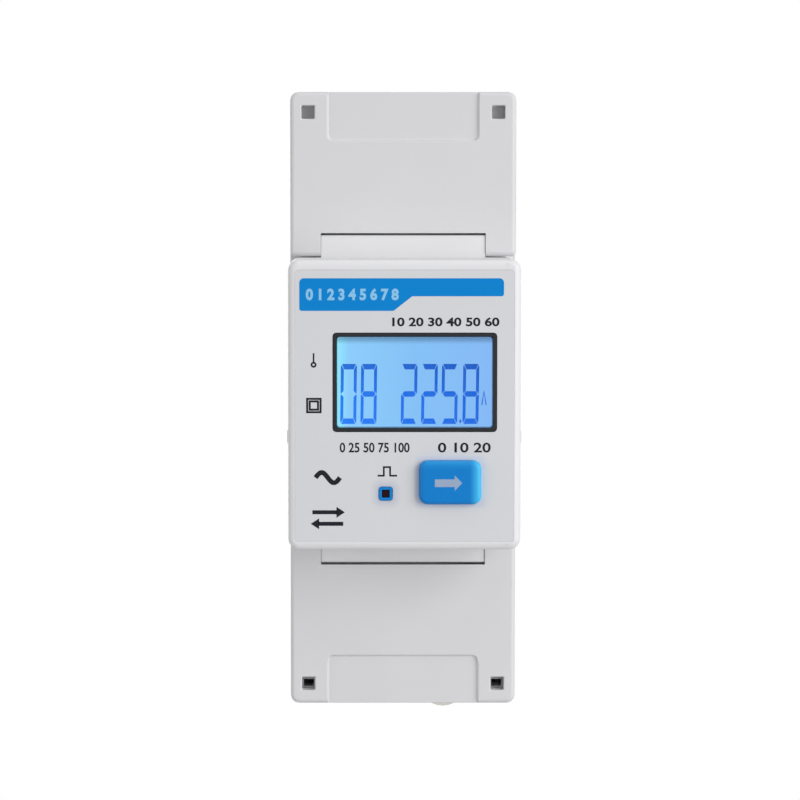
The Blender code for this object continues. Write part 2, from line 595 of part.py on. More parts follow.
def rear_housing():
    """White moulded tub with the rail channel, its fixed hook, the latch guide and the board posts."""
    rim_y = PARTING_Y + GAP / 2
    foot_top = RAIL_TOP + FOOT_LENGTH
    foot_bottom = RAIL_BOTTOM - FOOT_LENGTH
    hook_back = RAIL_FLANGE_ROOM + HOOK_LIP
    lead_in = HOOK_REACH * 2 / 3
    side_view = [
        (rim_y, -END), (END_BACK, -END), (END_BACK, foot_bottom - FOOT_SLOPE), (FOOT_BACK, foot_bottom),
        (FOOT_BACK, RAIL_BOTTOM - lead_in), (FOOT_BACK - lead_in, RAIL_BOTTOM),
        (-SEAT_RELIEF, RAIL_BOTTOM), (-SEAT_RELIEF, -SEAT_HALF), (0, -SEAT_HALF),
        (0, SEAT_HALF), (-SEAT_RELIEF, SEAT_HALF), (-SEAT_RELIEF, RAIL_TOP),
        (RAIL_FLANGE_ROOM, RAIL_TOP), (RAIL_FLANGE_ROOM, RAIL_TOP - HOOK_REACH),
        (hook_back, RAIL_TOP - HOOK_REACH), (FOOT_BACK, RAIL_TOP + lead_in), (FOOT_BACK, foot_top),
        (END_BACK, foot_top + FOOT_SLOPE), (END_BACK, END), (rim_y, END),
    ]
    shell = soften(prism(side_view, "X", -HALF_WIDTH, HALF_WIDTH), BODY_CORNER_RADIUS, corner_edges)
    piece = make("rear_housing", shell, HOUSING_PLASTIC)
    cut(piece, box((-INNER_HALF, rim_y - OUT, -END + HOUSING_WALL),
                   (INNER_HALF, -SEAT_WALL, END - HOUSING_WALL)))

    # Lips along both sides that centre the front housing, with the catches that hold it
    lip_end = ELECTRONICS_END - HOUSING_WALL
    lip_outer = INNER_HALF - GAP
    lip_inner = lip_outer - HOUSING_WALL / 2
    for hand in (1, -1):
        section = [(lip_inner, rim_y - HOUSING_WALL), (lip_outer, rim_y - HOUSING_WALL),
                   (lip_outer, rim_y + GAP), (INNER_HALF + GAP, rim_y + 2 * GAP),
                   (INNER_HALF + GAP, rim_y + HOUSING_WALL), (lip_inner, rim_y + HOUSING_WALL)]
        weld(piece, prism([(hand * a, b) for a, b in section], "Z", -lip_end, lip_end))
        root = rim_y - HOUSING_WALL / 2
        tip = HALF_WIDTH - SNAP_SET_BACK
        catch = [(lip_inner, root), (lip_inner, SNAP_FRONT_Y), (lip_outer, SNAP_FRONT_Y),
                 (lip_outer, SNAP_FRONT_Y + GAP), (tip, SNAP_FRONT_Y + 2 * GAP),
                 (tip, SNAP_BACK_Y - GAP), (lip_outer, SNAP_BACK_Y - GAP), (lip_outer, root)]
        profile = [(hand * a, b) for a, b in catch]
        half = SNAP_LENGTH / 2 - GAP
        for along in (SNAP_PLACE, -SNAP_PLACE):
            weld(piece, prism(profile, "Z", along - half, along + half))

    # Posts under the main board and ribs under the clamp cages
    post_x = MAIN_BOARD_HALF_X - MAIN_POST_SIDE
    post_z = MAIN_BOARD_HALF_Z - MAIN_POST_END
    for across in (1, -1):
        for along in (1, -1):
            weld(piece, rod((across * post_x, along * post_z), "Y", MAIN_POST_RADIUS,
                            MAIN_BOARD_BACK_Y + GAP, -SEAT_WALL / 2, 12))
    rib_half = HOUSING_WALL / 3
    for kind in (POWER, SIGNAL):
        layout = clamp_layout(kind)
        for place in clamp_places(kind):
            rib = box((place - rib_half, layout["cage_back"] + GAP, layout["room_low"] + GAP),
                      (place + rib_half, -SEAT_WALL / 2, layout["room_high"] - GAP))
            weld(piece, flipped(rib, kind["side"]))

    # Guide for the rail latch, and the peg that its spring stands on
    guide_half = LATCH_WIDTH / 2 + GAP
    cut(piece, box((LATCH_X - guide_half, LATCH_Y - GAP, foot_bottom - FOOT_SLOPE - OUT),
                   (LATCH_X + guide_half, LATCH_Y + LATCH_THICKNESS + GAP, RAIL_BOTTOM + OUT)))
    peg_top = -LATCH_WINDOW_TOP - GAP - SPRING_LENGTH - GAP
    weld(piece, box((LATCH_X - PEG_WIDTH / 2, LATCH_Y - HOUSING_WALL, peg_top - PEG_HEIGHT),
                    (LATCH_X + PEG_WIDTH / 2, LATCH_Y + LATCH_THICKNESS - GAP, peg_top)))

    # Cored pockets in the feet, beside the latch below and all along above
    pocket_low = RAIL_TOP + HOUSING_WALL + lead_in
    pocket_high = foot_top - HOUSING_WALL
    pocket_floor = SEAT_WALL
    upper_pockets = 4
    pitch = (BODY_WIDTH - HOUSING_WALL) / upper_pockets
    for number in range(upper_pockets):
        left = -HALF_WIDTH + HOUSING_WALL + number * pitch
        cut(piece, box((left, pocket_floor, pocket_low),
                       (left + pitch - HOUSING_WALL, FOOT_BACK + OUT, pocket_high)))
    lower_left = -HALF_WIDTH + HOUSING_WALL
    lower_right = LATCH_X - guide_half - HOUSING_WALL
    lower_pitch = (lower_right + HOUSING_WALL - lower_left) / 2
    for number in range(2):
        left = lower_left + number * lower_pitch
        right = left + lower_pitch - HOUSING_WALL
        cut(piece, box((left, pocket_floor, foot_bottom + HOUSING_WALL),
                       (right, FOOT_BACK + OUT, RAIL_BOTTOM - HOUSING_WALL - lead_in)))
    return piece


# ---------------------------------------------------------------------------------------------------------
# Terminal covers
# ---------------------------------------------------------------------------------------------------------


def terminal_cover(name, side):
    """Shallow moulded cap on two ears. Its pins turn in the housing's tongue."""
    cover_back = STEP_Y - GAP
    shell = box((-COVER_HALF, COVER_Y, PIVOT_Z), (COVER_HALF, cover_back, END))
    soften(shell, COVER_CORNER_RADIUS, corner_edges)

    def face_edges(first, second):
        at_face = near(first.y, COVER_Y) and near(second.y, COVER_Y)
        at_hinge = near(first.z, PIVOT_Z) and near(second.z, PIVOT_Z)
        return at_face and not at_hinge

    soften(shell, COVER_EDGE_RADIUS, face_edges)
    piece = make(name, flipped(shell, side), COVER_PLASTIC, (0, PIVOT_Y, side * PIVOT_Z))
    inner_half = COVER_HALF - COVER_WALL
    plate_back = COVER_Y + COVER_PLATE
    hollow = box((-inner_half, plate_back, PIVOT_Z - OUT), (inner_half, cover_back + OUT, END - COVER_WALL))
    cut(piece, flipped(hollow, side))
    # Ears round the hinge axis, then the cut-out between them, undercut so that it swings past the tongue
    back = arc((PIVOT_Y, PIVOT_Z), EAR_RADIUS, 0.75, 1.5, 18)
    corner = (COVER_Y + EAR_CORNER_RADIUS, PIVOT_Z - EAR_RADIUS + EAR_CORNER_RADIUS)
    front = arc(corner, EAR_CORNER_RADIUS, 0.5, 0.75, 4)
    ears = prism(back + front, "X", -COVER_HALF, COVER_HALF)

    def ear_sides(first, second):
        return near(first.x, second.x)

    weld(piece, flipped(soften(ears, COVER_EDGE_RADIUS, ear_sides), side))
    under = [(COVER_Y - OUT, PIVOT_Z - OUT), (COVER_Y - OUT, NOTCH_EDGE), (COVER_Y, NOTCH_EDGE),
             (plate_back, NOTCH_EDGE + NOTCH_UNDERCUT), (cover_back + OUT, NOTCH_EDGE + NOTCH_UNDERCUT),
             (cover_back + OUT, PIVOT_Z - OUT)]
    cut(piece, flipped(prism(under, "X", -NOTCH_HALF, NOTCH_HALF), side))
    for hand in (1, -1):
        pin_x = sorted((hand * (NOTCH_HALF - PIN_LENGTH), hand * (NOTCH_HALF + COVER_WALL)))
        weld(piece, flipped(rod((PIVOT_Y, PIVOT_Z), "X", PIN_RADIUS, pin_x[0], pin_x[1], 16), side))
        seal = box((hand * SEAL_X - SEAL_HOLE / 2, COVER_Y - OUT, SEAL_Z - SEAL_HOLE / 2),
                   (hand * SEAL_X + SEAL_HOLE / 2, plate_back + OUT / 4, SEAL_Z + SEAL_HOLE / 2))
        cut(piece, flipped(seal, side))
        rib_x = hand * COVER_RIB_SIDE
        rib_start = NOTCH_EDGE + 2 * NOTCH_UNDERCUT
        rib = box((rib_x - COVER_RIB_THICKNESS / 2, plate_back - COVER_PLATE / 2, rib_start),
                  (rib_x + COVER_RIB_THICKNESS / 2, plate_back + COVER_RIB_DEPTH, END - COVER_WALL / 2))
        weld(piece, flipped(rib, side))
    thumb = round_rectangle((0, END), 2 * (COVER_HALF - THUMB_SIDE), 2 * THUMB_LENGTH, THUMB_CORNER)
    cut(piece, flipped(prism(thumb, "Y", COVER_Y - OUT, COVER_Y + THUMB_DEPTH), side))
    return piece


# ---------------------------------------------------------------------------------------------------------
# Front face: film, display, button and pulse lamp
# ---------------------------------------------------------------------------------------------------------


def faceplate_film():
    """Printed polycarbonate film, glued into its recess, punched for the display, button and lamp."""
    outline = round_rectangle((0, -FILM_DROP), FILM_WIDTH, FILM_HEIGHT, FILM_CORNER)
    piece = make("faceplate_film", prism(outline, "Y", FRONT_Y, FILM_Y), FILM_PRINT)
    for opening in front_openings(INLAY_GAP):
        cut(piece, prism(opening, "Y", FRONT_Y - OUT, FILM_Y + OUT))
    return piece


def display_stack():
    """Black frame round a clear pane, the liquid-crystal cell right behind it, and the backlight."""
    centre = (DISPLAY_X, DISPLAY_Z)
    bezel_front = FRONT_Y + BEZEL_SET_BACK
    bezel_back = INNER_FRONT_Y - INLAY_GAP
    pane_front = FRONT_Y + PANE_SET_BACK
    pane_back = pane_front + PANE_THICKNESS
    outline = round_rectangle(centre, DISPLAY_WIDTH, DISPLAY_HEIGHT, DISPLAY_CORNER)
    bezel = make("display_bezel", prism(outline, "Y", bezel_front, bezel_back), BLACK_PLASTIC)
    inner_width = DISPLAY_WIDTH - 2 * BEZEL_BORDER
    inner_height = DISPLAY_HEIGHT - 2 * BEZEL_BORDER
    inner = round_rectangle(centre, inner_width, inner_height, DISPLAY_CORNER / 2)
    cut(bezel, prism(inner, "Y", bezel_front - OUT, bezel_back + OUT))
    pane = round_rectangle(centre, inner_width - 2 * INLAY_GAP, inner_height - 2 * INLAY_GAP,
                           DISPLAY_CORNER / 2)
    make("display_window", prism(pane, "Y", pane_front, pane_back), CLEAR_PLASTIC)

    cell_x = DISPLAY_WIDTH / 2 + CELL_MARGIN
    cell_z = DISPLAY_HEIGHT / 2 + CELL_MARGIN
    rear_glass = box((DISPLAY_X - cell_x, CELL_Y, DISPLAY_Z - cell_z),
                     (DISPLAY_X + cell_x, CELL_Y + CELL_THICKNESS, DISPLAY_Z + cell_z))
    cell = make("display_glass", rear_glass, DISPLAY_GLASS)
    weld(cell, prism(pane, "Y", pane_back + INLAY_GAP, CELL_Y + CELL_THICKNESS / 2))
    light = box((DISPLAY_X - cell_x, BACKLIGHT_Y, DISPLAY_Z - cell_z),
                (DISPLAY_X + cell_x, BACKLIGHT_Y + BACKLIGHT_THICKNESS, DISPLAY_Z + cell_z))

    def light_corners(first, second):
        return parallel(first, second, 1)

    make("display_backlight", soften(light, CELL_MARGIN, light_corners, 2), CLEAR_PLASTIC)


def push_button():
    """Blue key with a flange behind the front wall and a stem on the tact switch."""
    outline = round_rectangle((BUTTON_X, BUTTON_Z), BUTTON_WIDTH, BUTTON_HEIGHT, BUTTON_CORNER, 4)
    face_y = FRONT_Y - BUTTON_PROUD
    cap = prism(outline, "Y", face_y, INNER_FRONT_Y + GAP + BUTTON_FLANGE_THICKNESS / 2)

    def face_edges(first, second):
        return near(first.y, face_y) and near(second.y, face_y)

    soften(cap, BUTTON_EDGE_RADIUS, face_edges)
    piece = make("push_button", cap, BLUE_PLASTIC, (BUTTON_X, FRONT_Y, BUTTON_Z))
    flange = round_rectangle((BUTTON_X, BUTTON_Z), BUTTON_WIDTH + 2 * BUTTON_FLANGE,
                             BUTTON_HEIGHT + 2 * BUTTON_FLANGE, BUTTON_CORNER)
    flange_y = INNER_FRONT_Y + GAP
    weld(piece, prism(flange, "Y", flange_y, flange_y + BUTTON_FLANGE_THICKNESS))
    weld(piece, rod((BUTTON_X, BUTTON_Z), "Y", BUTTON_STEM_RADIUS, flange_y, plunger_front() - GAP, 16))
    return piece


def plunger_front():
    """Front end of the switch's plunger at rest."""
    switch_front = DISPLAY_BOARD_Y - GAP - SWITCH_HEIGHT
    return switch_front - BUTTON_TRAVEL - GAP


def tact_switch():
    """Switch under the button: a hollow body on the board and the plunger that moves in it."""
    half = SWITCH_SIZE / 2
    back = DISPLAY_BOARD_Y - GAP
    body = make("switch_body", box((BUTTON_X - half, back - SWITCH_HEIGHT, BUTTON_Z - half),
                                   (BUTTON_X + half, back, BUTTON_Z + half)), BLACK_PLASTIC)
    floor_y = plunger_front() + PLUNGER_LENGTH + BUTTON_TRAVEL + GAP
    cut(body, rod((BUTTON_X, BUTTON_Z), "Y", PLUNGER_RADIUS + GAP, back - SWITCH_HEIGHT - OUT, floor_y, 16))
    make("switch_plunger", rod((BUTTON_X, BUTTON_Z), "Y", PLUNGER_RADIUS, plunger_front(),
                               plunger_front() + PLUNGER_LENGTH, 16), GREY_PLASTIC,
         (BUTTON_X, FRONT_Y, BUTTON_Z))


def pulse_lamp():
    """Blue bush in the front face, a dark red light pipe in it, and the lamp on the board behind."""
    centre = (LAMP_X, LAMP_Z)
    outline = round_rectangle(centre, LAMP_BEZEL_SIZE, LAMP_BEZEL_SIZE, LAMP_BEZEL_CORNER)
    bush_front = FRONT_Y - LAMP_BEZEL_PROUD
    flange_y = INNER_FRONT_Y + GAP
    bush_back = flange_y + LAMP_BEZEL_FLANGE
    front_part = prism(outline, "Y", bush_front, flange_y + LAMP_BEZEL_FLANGE / 2)
    bush = make("pulse_bezel", front_part, BLUE_PLASTIC)
    flange_size = LAMP_BEZEL_SIZE + 2 * LAMP_BEZEL_FLANGE
    flange = round_rectangle(centre, flange_size, flange_size, LAMP_BEZEL_CORNER)
    weld(bush, prism(flange, "Y", flange_y, bush_back))
    bore = LAMP_PIPE_SIZE / 2 + INLAY_GAP
    cut(bush, box((LAMP_X - bore, bush_front - OUT, LAMP_Z - bore),
                  (LAMP_X + bore, bush_back + OUT, LAMP_Z + bore)))
    lamp_back = DISPLAY_BOARD_Y - GAP
    lamp_front = lamp_back - LAMP_HEIGHT
    half = LAMP_PIPE_SIZE / 2
    make("pulse_light_pipe", box((LAMP_X - half, FRONT_Y, LAMP_Z - half),
                                 (LAMP_X + half, lamp_front - GAP, LAMP_Z + half)), RED_PLASTIC)
    lamp = rod(centre, "Y", LAMP_RADIUS, lamp_front, lamp_back, 16)

    def dome_edges(first, second):
        return near(first.y, lamp_front) and near(second.y, lamp_front)

    make("pulse_lamp", soften(lamp, LAMP_RADIUS / 2, dome_edges), CLEAR_PLASTIC)


# ---------------------------------------------------------------------------------------------------------
# Boards and what they carry
# ---------------------------------------------------------------------------------------------------------


def chip(name, size, board_y, direction):
    """A moulded chip with gull-wing legs on two sides, standing on one face of a board."""
    near_y = board_y + direction * GAP
    far_y = near_y + direction * CHIP_THICKNESS
    low_y, high_y = sorted((near_y, far_y))
    left = size["x"] - size["width"] / 2
    low_z = size["z"] - size["height"] / 2
    high_z = size["z"] + size["height"] / 2
    piece = make(name, box((left, low_y, low_z), (left + size["width"], high_y, high_z)), BLACK_PLASTIC)
    leg_pitch = size["width"] / size["legs"]
    leg_y = sorted((near_y, near_y + direction * CHIP_THICKNESS / 2))
    for number in range(size["legs"]):
        leg_x = left + (number + 0.5) * leg_pitch
        weld(piece, box((leg_x - leg_pitch / 5, leg_y[0] + CHIP_THICKNESS / 8, low_z - CHIP_THICKNESS / 2),
                        (leg_x + leg_pitch / 5, leg_y[1], high_z + CHIP_THICKNESS / 2)))
    return piece


def board(name, half_x, front_y, half_z):
    sheet = box((-half_x, front_y, -half_z), (half_x, front_y + BOARD_THICKNESS, half_z))
    make(name, sheet, BOARD_LAMINATE)


def boards():
    """The display board behind the front face and the main board across the middle of the body."""
    board("display_board", DISPLAY_BOARD_HALF_X, DISPLAY_BOARD_Y, DISPLAY_BOARD_HALF_Z)
    board("main_board", MAIN_BOARD_HALF_X, MAIN_BOARD_Y, MAIN_BOARD_HALF_Z)
    chip("processor_chip", PROCESSOR, DISPLAY_BOARD_BACK_Y, 1)
    chip("metering_chip", METERING, MAIN_BOARD_Y, -1)
    chip("bus_isolator", ISOLATOR, MAIN_BOARD_Y, -1)


def ribbon():
    """Flat cable in a slack bow between the two boards, with a socket at each end."""
    half = RIBBON_WIDTH / 2
    socket_half_x = half + SOCKET_HEIGHT / 2
    socket_half_z = SOCKET_HEIGHT / 2
    slot_half_x = half + GAP
    slot_half_z = RIBBON_THICKNESS / 2 + GAP
    top_y = DISPLAY_BOARD_BACK_Y + GAP
    bottom_y = MAIN_BOARD_Y - GAP
    for name, low_y, high_y, mouth in (("display_socket", top_y, top_y + SOCKET_DEPTH, 1),
                                       ("main_socket", bottom_y - SOCKET_DEPTH, bottom_y, -1)):
        socket = make(name, box((RIBBON_X - socket_half_x, low_y, RIBBON_Z - socket_half_z),
                                (RIBBON_X + socket_half_x, high_y, RIBBON_Z + socket_half_z)), GREY_PLASTIC)
        slot_y = sorted(((low_y + high_y) / 2, (high_y if mouth > 0 else low_y) + mouth * OUT))
        cut(socket, box((RIBBON_X - slot_half_x, slot_y[0], RIBBON_Z - slot_half_z),
                        (RIBBON_X + slot_half_x, slot_y[1], RIBBON_Z + slot_half_z)))
    start = top_y + SOCKET_DEPTH / 2 + GAP
    stop = bottom_y - SOCKET_DEPTH / 2 - GAP
    steps = 16
    near_side = []
    far_side = []
    for step in range(steps + 1):
        share = step / steps
        along = start + (stop - start) * share
        across = RIBBON_Z - RIBBON_BOW * sin(pi * share) ** 2
        slope = -RIBBON_BOW * 2 * sin(pi * share) * cos(pi * share) * pi / (stop - start)
        length = sqrt(1 + slope * slope)
        shift_y = slope / length * RIBBON_THICKNESS / 2
        shift_z = RIBBON_THICKNESS / 2 / length
        near_side.append((along + shift_y, across - shift_z))
        far_side.append((along - shift_y, across + shift_z))
    strip = prism(near_side + far_side[::-1], "X", RIBBON_X - half, RIBBON_X + half)
    make("ribbon_cable", strip, GREY_PLASTIC)


def supply_parts():
    """Transformer, two capacitors and the surge protector, behind the main board."""
    top = MAIN_BOARD_BACK_Y + GAP
    half_x = TRANSFORMER_WIDTH / 2
    half_z = TRANSFORMER_LENGTH / 2
    core = box((TRANSFORMER_X - half_x, top, -half_z),
               (TRANSFORMER_X + half_x, top + TRANSFORMER_HEIGHT, half_z))
    transformer = make("supply_transformer", core, YELLOW_TAPE)
    limb_half = half_x - TRANSFORMER_LIMB_INSET
    limb_back = top + TRANSFORMER_HEIGHT - TRANSFORMER_LIMB_INSET
    for along in (1, -1):
        limb_z = sorted((along * (half_z - TRANSFORMER_LIMB), along * (half_z + TRANSFORMER_LIMB)))
        weld(transformer, box((TRANSFORMER_X - limb_half, top + TRANSFORMER_LIMB_INSET, limb_z[0]),
                              (TRANSFORMER_X + limb_half, limb_back, limb_z[1])))
    can_end = top + CAN_HEIGHT
    can = rod((CAN_X, CAN_Z), "Y", CAN_RADIUS, top, can_end, 24)

    def can_edges(first, second):
        return near(first.y, can_end) and near(second.y, can_end)

    make("supply_capacitor", soften(can, PART_EDGE_RADIUS, can_edges, 2), BLACK_PLASTIC)
    block = box((-BLOCK_WIDTH / 2, top, BLOCK_Z - BLOCK_LENGTH / 2),
                (BLOCK_WIDTH / 2, top + BLOCK_HEIGHT, BLOCK_Z + BLOCK_LENGTH / 2))

    def block_edges(first, second):
        return not near(first.y, top) or not near(second.y, top)

    make("film_capacitor", soften(block, PART_EDGE_RADIUS, block_edges, 2), YELLOW_TAPE)
    disc = rod((DISC_X, top + DISC_STAND_OFF + DISC_RADIUS), "Z", DISC_RADIUS,
               DISC_Z - DISC_THICKNESS / 2, DISC_Z + DISC_THICKNESS / 2, 24)

    def disc_edges(first, second):
        return near(first.z, second.z)

    make("surge_protector", soften(disc, PART_EDGE_RADIUS, disc_edges, 2), BLUE_PLASTIC)


# ---------------------------------------------------------------------------------------------------------
# Screw terminals
# ---------------------------------------------------------------------------------------------------------


def terminal(label, number, place, kind):
    """One rising-cage clamp: contact bar, cage, and the screw that draws the cage towards the deck."""
    layout = clamp_layout(kind)
    side = kind["side"]
    leg_z = MAIN_BOARD_HALF_Z - kind["bar_thickness"] - GAP
    tip_z = layout["room_high"] - 2 * GAP
    leg_outer_z = leg_z + kind["bar_thickness"]
    bent = [(layout["bar_front"], leg_z), (layout["bar_front"], tip_z), (layout["bar_back"], tip_z),
            (layout["bar_back"], leg_outer_z), (MAIN_BOARD_Y - GAP, leg_outer_z),
            (MAIN_BOARD_Y - GAP, leg_z)]
    bar_half = kind["bar_width"] / 2
    bar = prism(bent, "X", place - bar_half, place + bar_half)
    make(f"{label}_bar_{number}", flipped(bar, side), BRASS)

    half_x = kind["cage_width"] / 2
    half_z = kind["cage_length"] / 2
    wall = kind["cage_wall"]
    axis_point = (place, layout["cage_front"], side * TERMINAL_Z)
    frame = box((place - half_x, layout["cage_front"], TERMINAL_Z - half_z),
                (place + half_x, layout["cage_back"], TERMINAL_Z + half_z))

    def long_edges(first, second):
        return parallel(first, second, 2)

    soften(frame, wall / 2, long_edges, 2)
    cage = make(f"{label}_cage_{number}", flipped(frame, side), STEEL, axis_point)
    cut(cage, flipped(box((place - half_x + wall, layout["cage_under"], TERMINAL_Z - half_z - OUT),
                          (place + half_x - wall, layout["cage_floor"], TERMINAL_Z + half_z + OUT)), side))
    cut(cage, flipped(rod((place, TERMINAL_Z), "Y", kind["shaft_radius"] + PIN_CLEARANCE,
                          layout["cage_front"] - OUT, layout["cage_under"] + GAP, 16), side))

    head = rod((place, TERMINAL_Z), "Y", kind["head_radius"], HEAD_Y, layout["under_head"], 24)

    def rim_edges(first, second):
        return near(first.y, HEAD_Y) and near(second.y, HEAD_Y)

    soften(head, kind["head_height"] / 6, rim_edges, 2)
    screw = make(f"{label}_screw_{number}", flipped(head, side), STEEL, (place, HEAD_Y, side * TERMINAL_Z))
    weld(screw, flipped(rod((place, TERMINAL_Z), "Y", kind["shaft_radius"], layout["under_head"] - GAP,
                            layout["bar_front"] - GAP, 16), side))
    slot_half = kind["head_height"] / 6
    slot_floor = HEAD_Y + kind["head_height"] / 2
    cross = kind["head_radius"] * 0.6
    cut(screw, flipped(box((place - 2 * kind["head_radius"], HEAD_Y - OUT, TERMINAL_Z - slot_half),
                           (place + 2 * kind["head_radius"], slot_floor, TERMINAL_Z + slot_half)), side))
    cut(screw, flipped(box((place - slot_half, HEAD_Y - OUT, TERMINAL_Z - cross),
                           (place + slot_half, slot_floor + slot_half / 4, TERMINAL_Z + cross)), side))


# ---------------------------------------------------------------------------------------------------------
# Rail latch
# ---------------------------------------------------------------------------------------------------------


def rail_latch():
    """Flat sliding latch behind the rail's lower edge, its spring, and the pull tab below the body."""
    nose_z = -RAIL_HEIGHT / 2 + LATCH_BITE
    shoulder_z = RAIL_BOTTOM - FOOT_LENGTH - FOOT_SLOPE
    tail_half = LATCH_TAIL_WIDTH / 2
    half = LATCH_WIDTH / 2
    tip_centre = (LATCH_X, -LATCH_TIP + tail_half)
    outline = [(LATCH_X - half, nose_z), (LATCH_X - half, shoulder_z), (LATCH_X - tail_half, shoulder_z)]
    outline += arc(tip_centre, tail_half, 0.5, 1.0, 12)
    outline += [(LATCH_X + tail_half, shoulder_z), (LATCH_X + half, shoulder_z), (LATCH_X + half, nose_z)]
    back = LATCH_Y + LATCH_THICKNESS
    piece = make("rail_latch", prism(outline, "Y", LATCH_Y, back), GREY_PLASTIC, (LATCH_X, LATCH_Y, nose_z))
    ramp = [(LATCH_Y + LATCH_THICKNESS / 3, nose_z + OUT), (LATCH_Y + LATCH_THICKNESS / 3, nose_z),
            (back, nose_z - 2 * LATCH_BITE), (back + OUT, nose_z - 2 * LATCH_BITE),
            (back + OUT, nose_z + OUT)]
    cut(piece, prism(ramp, "X", LATCH_X - half - OUT, LATCH_X + half + OUT))
    spring_low = -LATCH_WINDOW_TOP - GAP - SPRING_LENGTH
    window_low = spring_low - GAP - PEG_HEIGHT - GAP
    cut(piece, box((LATCH_X - LATCH_WINDOW_WIDTH / 2, LATCH_Y - OUT, window_low),
                   (LATCH_X + LATCH_WINDOW_WIDTH / 2, back + OUT, -LATCH_WINDOW_TOP)))
    slot = round_rectangle(tip_centre, tail_half * 1.2, LATCH_THICKNESS * 0.8, LATCH_THICKNESS * 0.2)
    cut(piece, prism(slot, "Y", LATCH_Y - OUT, back + OUT))

    # Coil spring from the peg up to the top of the latch's window
    bend = bpy.data.curves.new("latch_spring", "CURVE")
    bend.dimensions = "3D"
    bend.bevel_depth = SPRING_WIRE_RADIUS
    bend.bevel_resolution = 1
    bend.use_fill_caps = True
    bend.materials.append(STEEL)
    steps = SPRING_TURNS * 10
    wire = bend.splines.new("POLY")
    wire.points.add(steps)
    start = spring_low + SPRING_WIRE_RADIUS
    rise = SPRING_LENGTH - 2 * SPRING_WIRE_RADIUS
    for step in range(steps + 1):
        turn = 2 * pi * SPRING_TURNS * step / steps
        wire.points[step].co = (SPRING_RADIUS * cos(turn), SPRING_RADIUS * sin(turn),
                                rise * step / steps, 1.0)
    spring = bpy.data.objects.new("latch_spring", bend)
    spring.location = (LATCH_X, LATCH_Y + LATCH_THICKNESS / 2, start)
    bpy.context.scene.collection.objects.link(spring)


# ---------------------------------------------------------------------------------------------------------
# The whole meter
# ---------------------------------------------------------------------------------------------------------

rear_housing()
front_housing()
terminal_cover("upper_terminal_cover", 1)
terminal_cover("lower_terminal_cover", -1)
faceplate_film()
display_stack()
push_button()
tact_switch()
pulse_lamp()
boards()
ribbon()
supply_parts()
for terminal_label, terminal_kind in (("power", POWER), ("signal", SIGNAL)):
    for terminal_number, terminal_place in enumerate(clamp_places(terminal_kind), 1):
        terminal(terminal_label, terminal_number, terminal_place, terminal_kind)
rail_latch()
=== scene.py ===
import json
import math

import bmesh
import bpy
from mathutils import Matrix, Vector

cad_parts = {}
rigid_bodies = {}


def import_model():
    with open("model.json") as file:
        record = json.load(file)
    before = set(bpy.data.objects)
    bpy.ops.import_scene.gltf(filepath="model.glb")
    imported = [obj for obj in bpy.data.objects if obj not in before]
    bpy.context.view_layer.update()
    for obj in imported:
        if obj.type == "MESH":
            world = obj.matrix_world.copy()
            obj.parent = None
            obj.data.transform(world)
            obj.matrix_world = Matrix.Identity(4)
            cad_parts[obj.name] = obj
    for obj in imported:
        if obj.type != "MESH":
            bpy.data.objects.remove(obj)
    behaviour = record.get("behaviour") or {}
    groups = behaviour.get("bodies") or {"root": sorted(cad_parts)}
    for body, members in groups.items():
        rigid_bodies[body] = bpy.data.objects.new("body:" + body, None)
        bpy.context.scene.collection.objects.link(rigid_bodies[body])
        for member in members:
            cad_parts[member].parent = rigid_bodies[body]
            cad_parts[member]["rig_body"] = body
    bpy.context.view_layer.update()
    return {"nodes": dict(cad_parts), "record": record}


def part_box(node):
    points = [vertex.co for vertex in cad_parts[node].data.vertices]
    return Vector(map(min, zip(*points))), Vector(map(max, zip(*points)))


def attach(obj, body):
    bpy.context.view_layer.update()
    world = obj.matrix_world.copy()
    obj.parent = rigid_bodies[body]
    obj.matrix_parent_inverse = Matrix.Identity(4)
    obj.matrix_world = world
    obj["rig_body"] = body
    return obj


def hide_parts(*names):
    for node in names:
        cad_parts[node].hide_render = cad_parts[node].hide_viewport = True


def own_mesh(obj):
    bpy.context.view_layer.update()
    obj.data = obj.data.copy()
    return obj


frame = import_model()


# ---------------------------------------------------------------------------------------------------------
# Rear housing: the half that clips on the rail. Injection-moulded white polycarbonate, with a fine
# spark-eroded grain left by the mould. The latch, the boards and the clamps are laid into it, then the
# front housing snaps on over two catches on each side.
# ---------------------------------------------------------------------------------------------------------

MM = 0.001
WELD = 0.01 * MM            # loose corners closer than this are one corner
FLAT = math.radians(0.6)    # faces that meet at less than this are one flat face
SHARP = math.radians(32)    # edges bent by more than this are sharp on the tool, and get a rounding
SLOTS = {part["node"]: part["material_slot"] for part in frame["record"]["subparts"]}


def linear(code):
    """A colour written as sRGB hex, as the linear values that a shader takes."""
    parts = [int(code[place:place + 2], 16) / 255 for place in (1, 3, 5)]
    return [part / 12.92 if part <= 0.04045 else ((part + 0.055) / 1.055) ** 2.4 for part in parts] + [1.0]


def add(tree, kind, settings=None, inputs=None):
    """Add a node with its settings and its inputs. An input is a plain value or the socket that feeds it."""
    node = tree.nodes.new(kind)
    for name, value in (settings or {}).items():
        setattr(node, name, value)
    for name, value in (inputs or {}).items():
        if isinstance(value, bpy.types.NodeSocket):
            tree.links.new(value, node.inputs[name])
        else:
            node.inputs[name].default_value = value
    return node


def new_material(name):
    """An empty material, its node tree and the object coordinates that its patterns follow."""
    material = bpy.data.materials.new(name)
    material.use_nodes = True
    tree = material.node_tree
    tree.nodes.clear()
    return material, tree, add(tree, "ShaderNodeTexCoord").outputs["Object"]


def calc(tree, operation, *values):
    """One step of arithmetic on numbers."""
    return add(tree, "ShaderNodeMath", {"operation": operation}, dict(enumerate(values))).outputs["Value"]


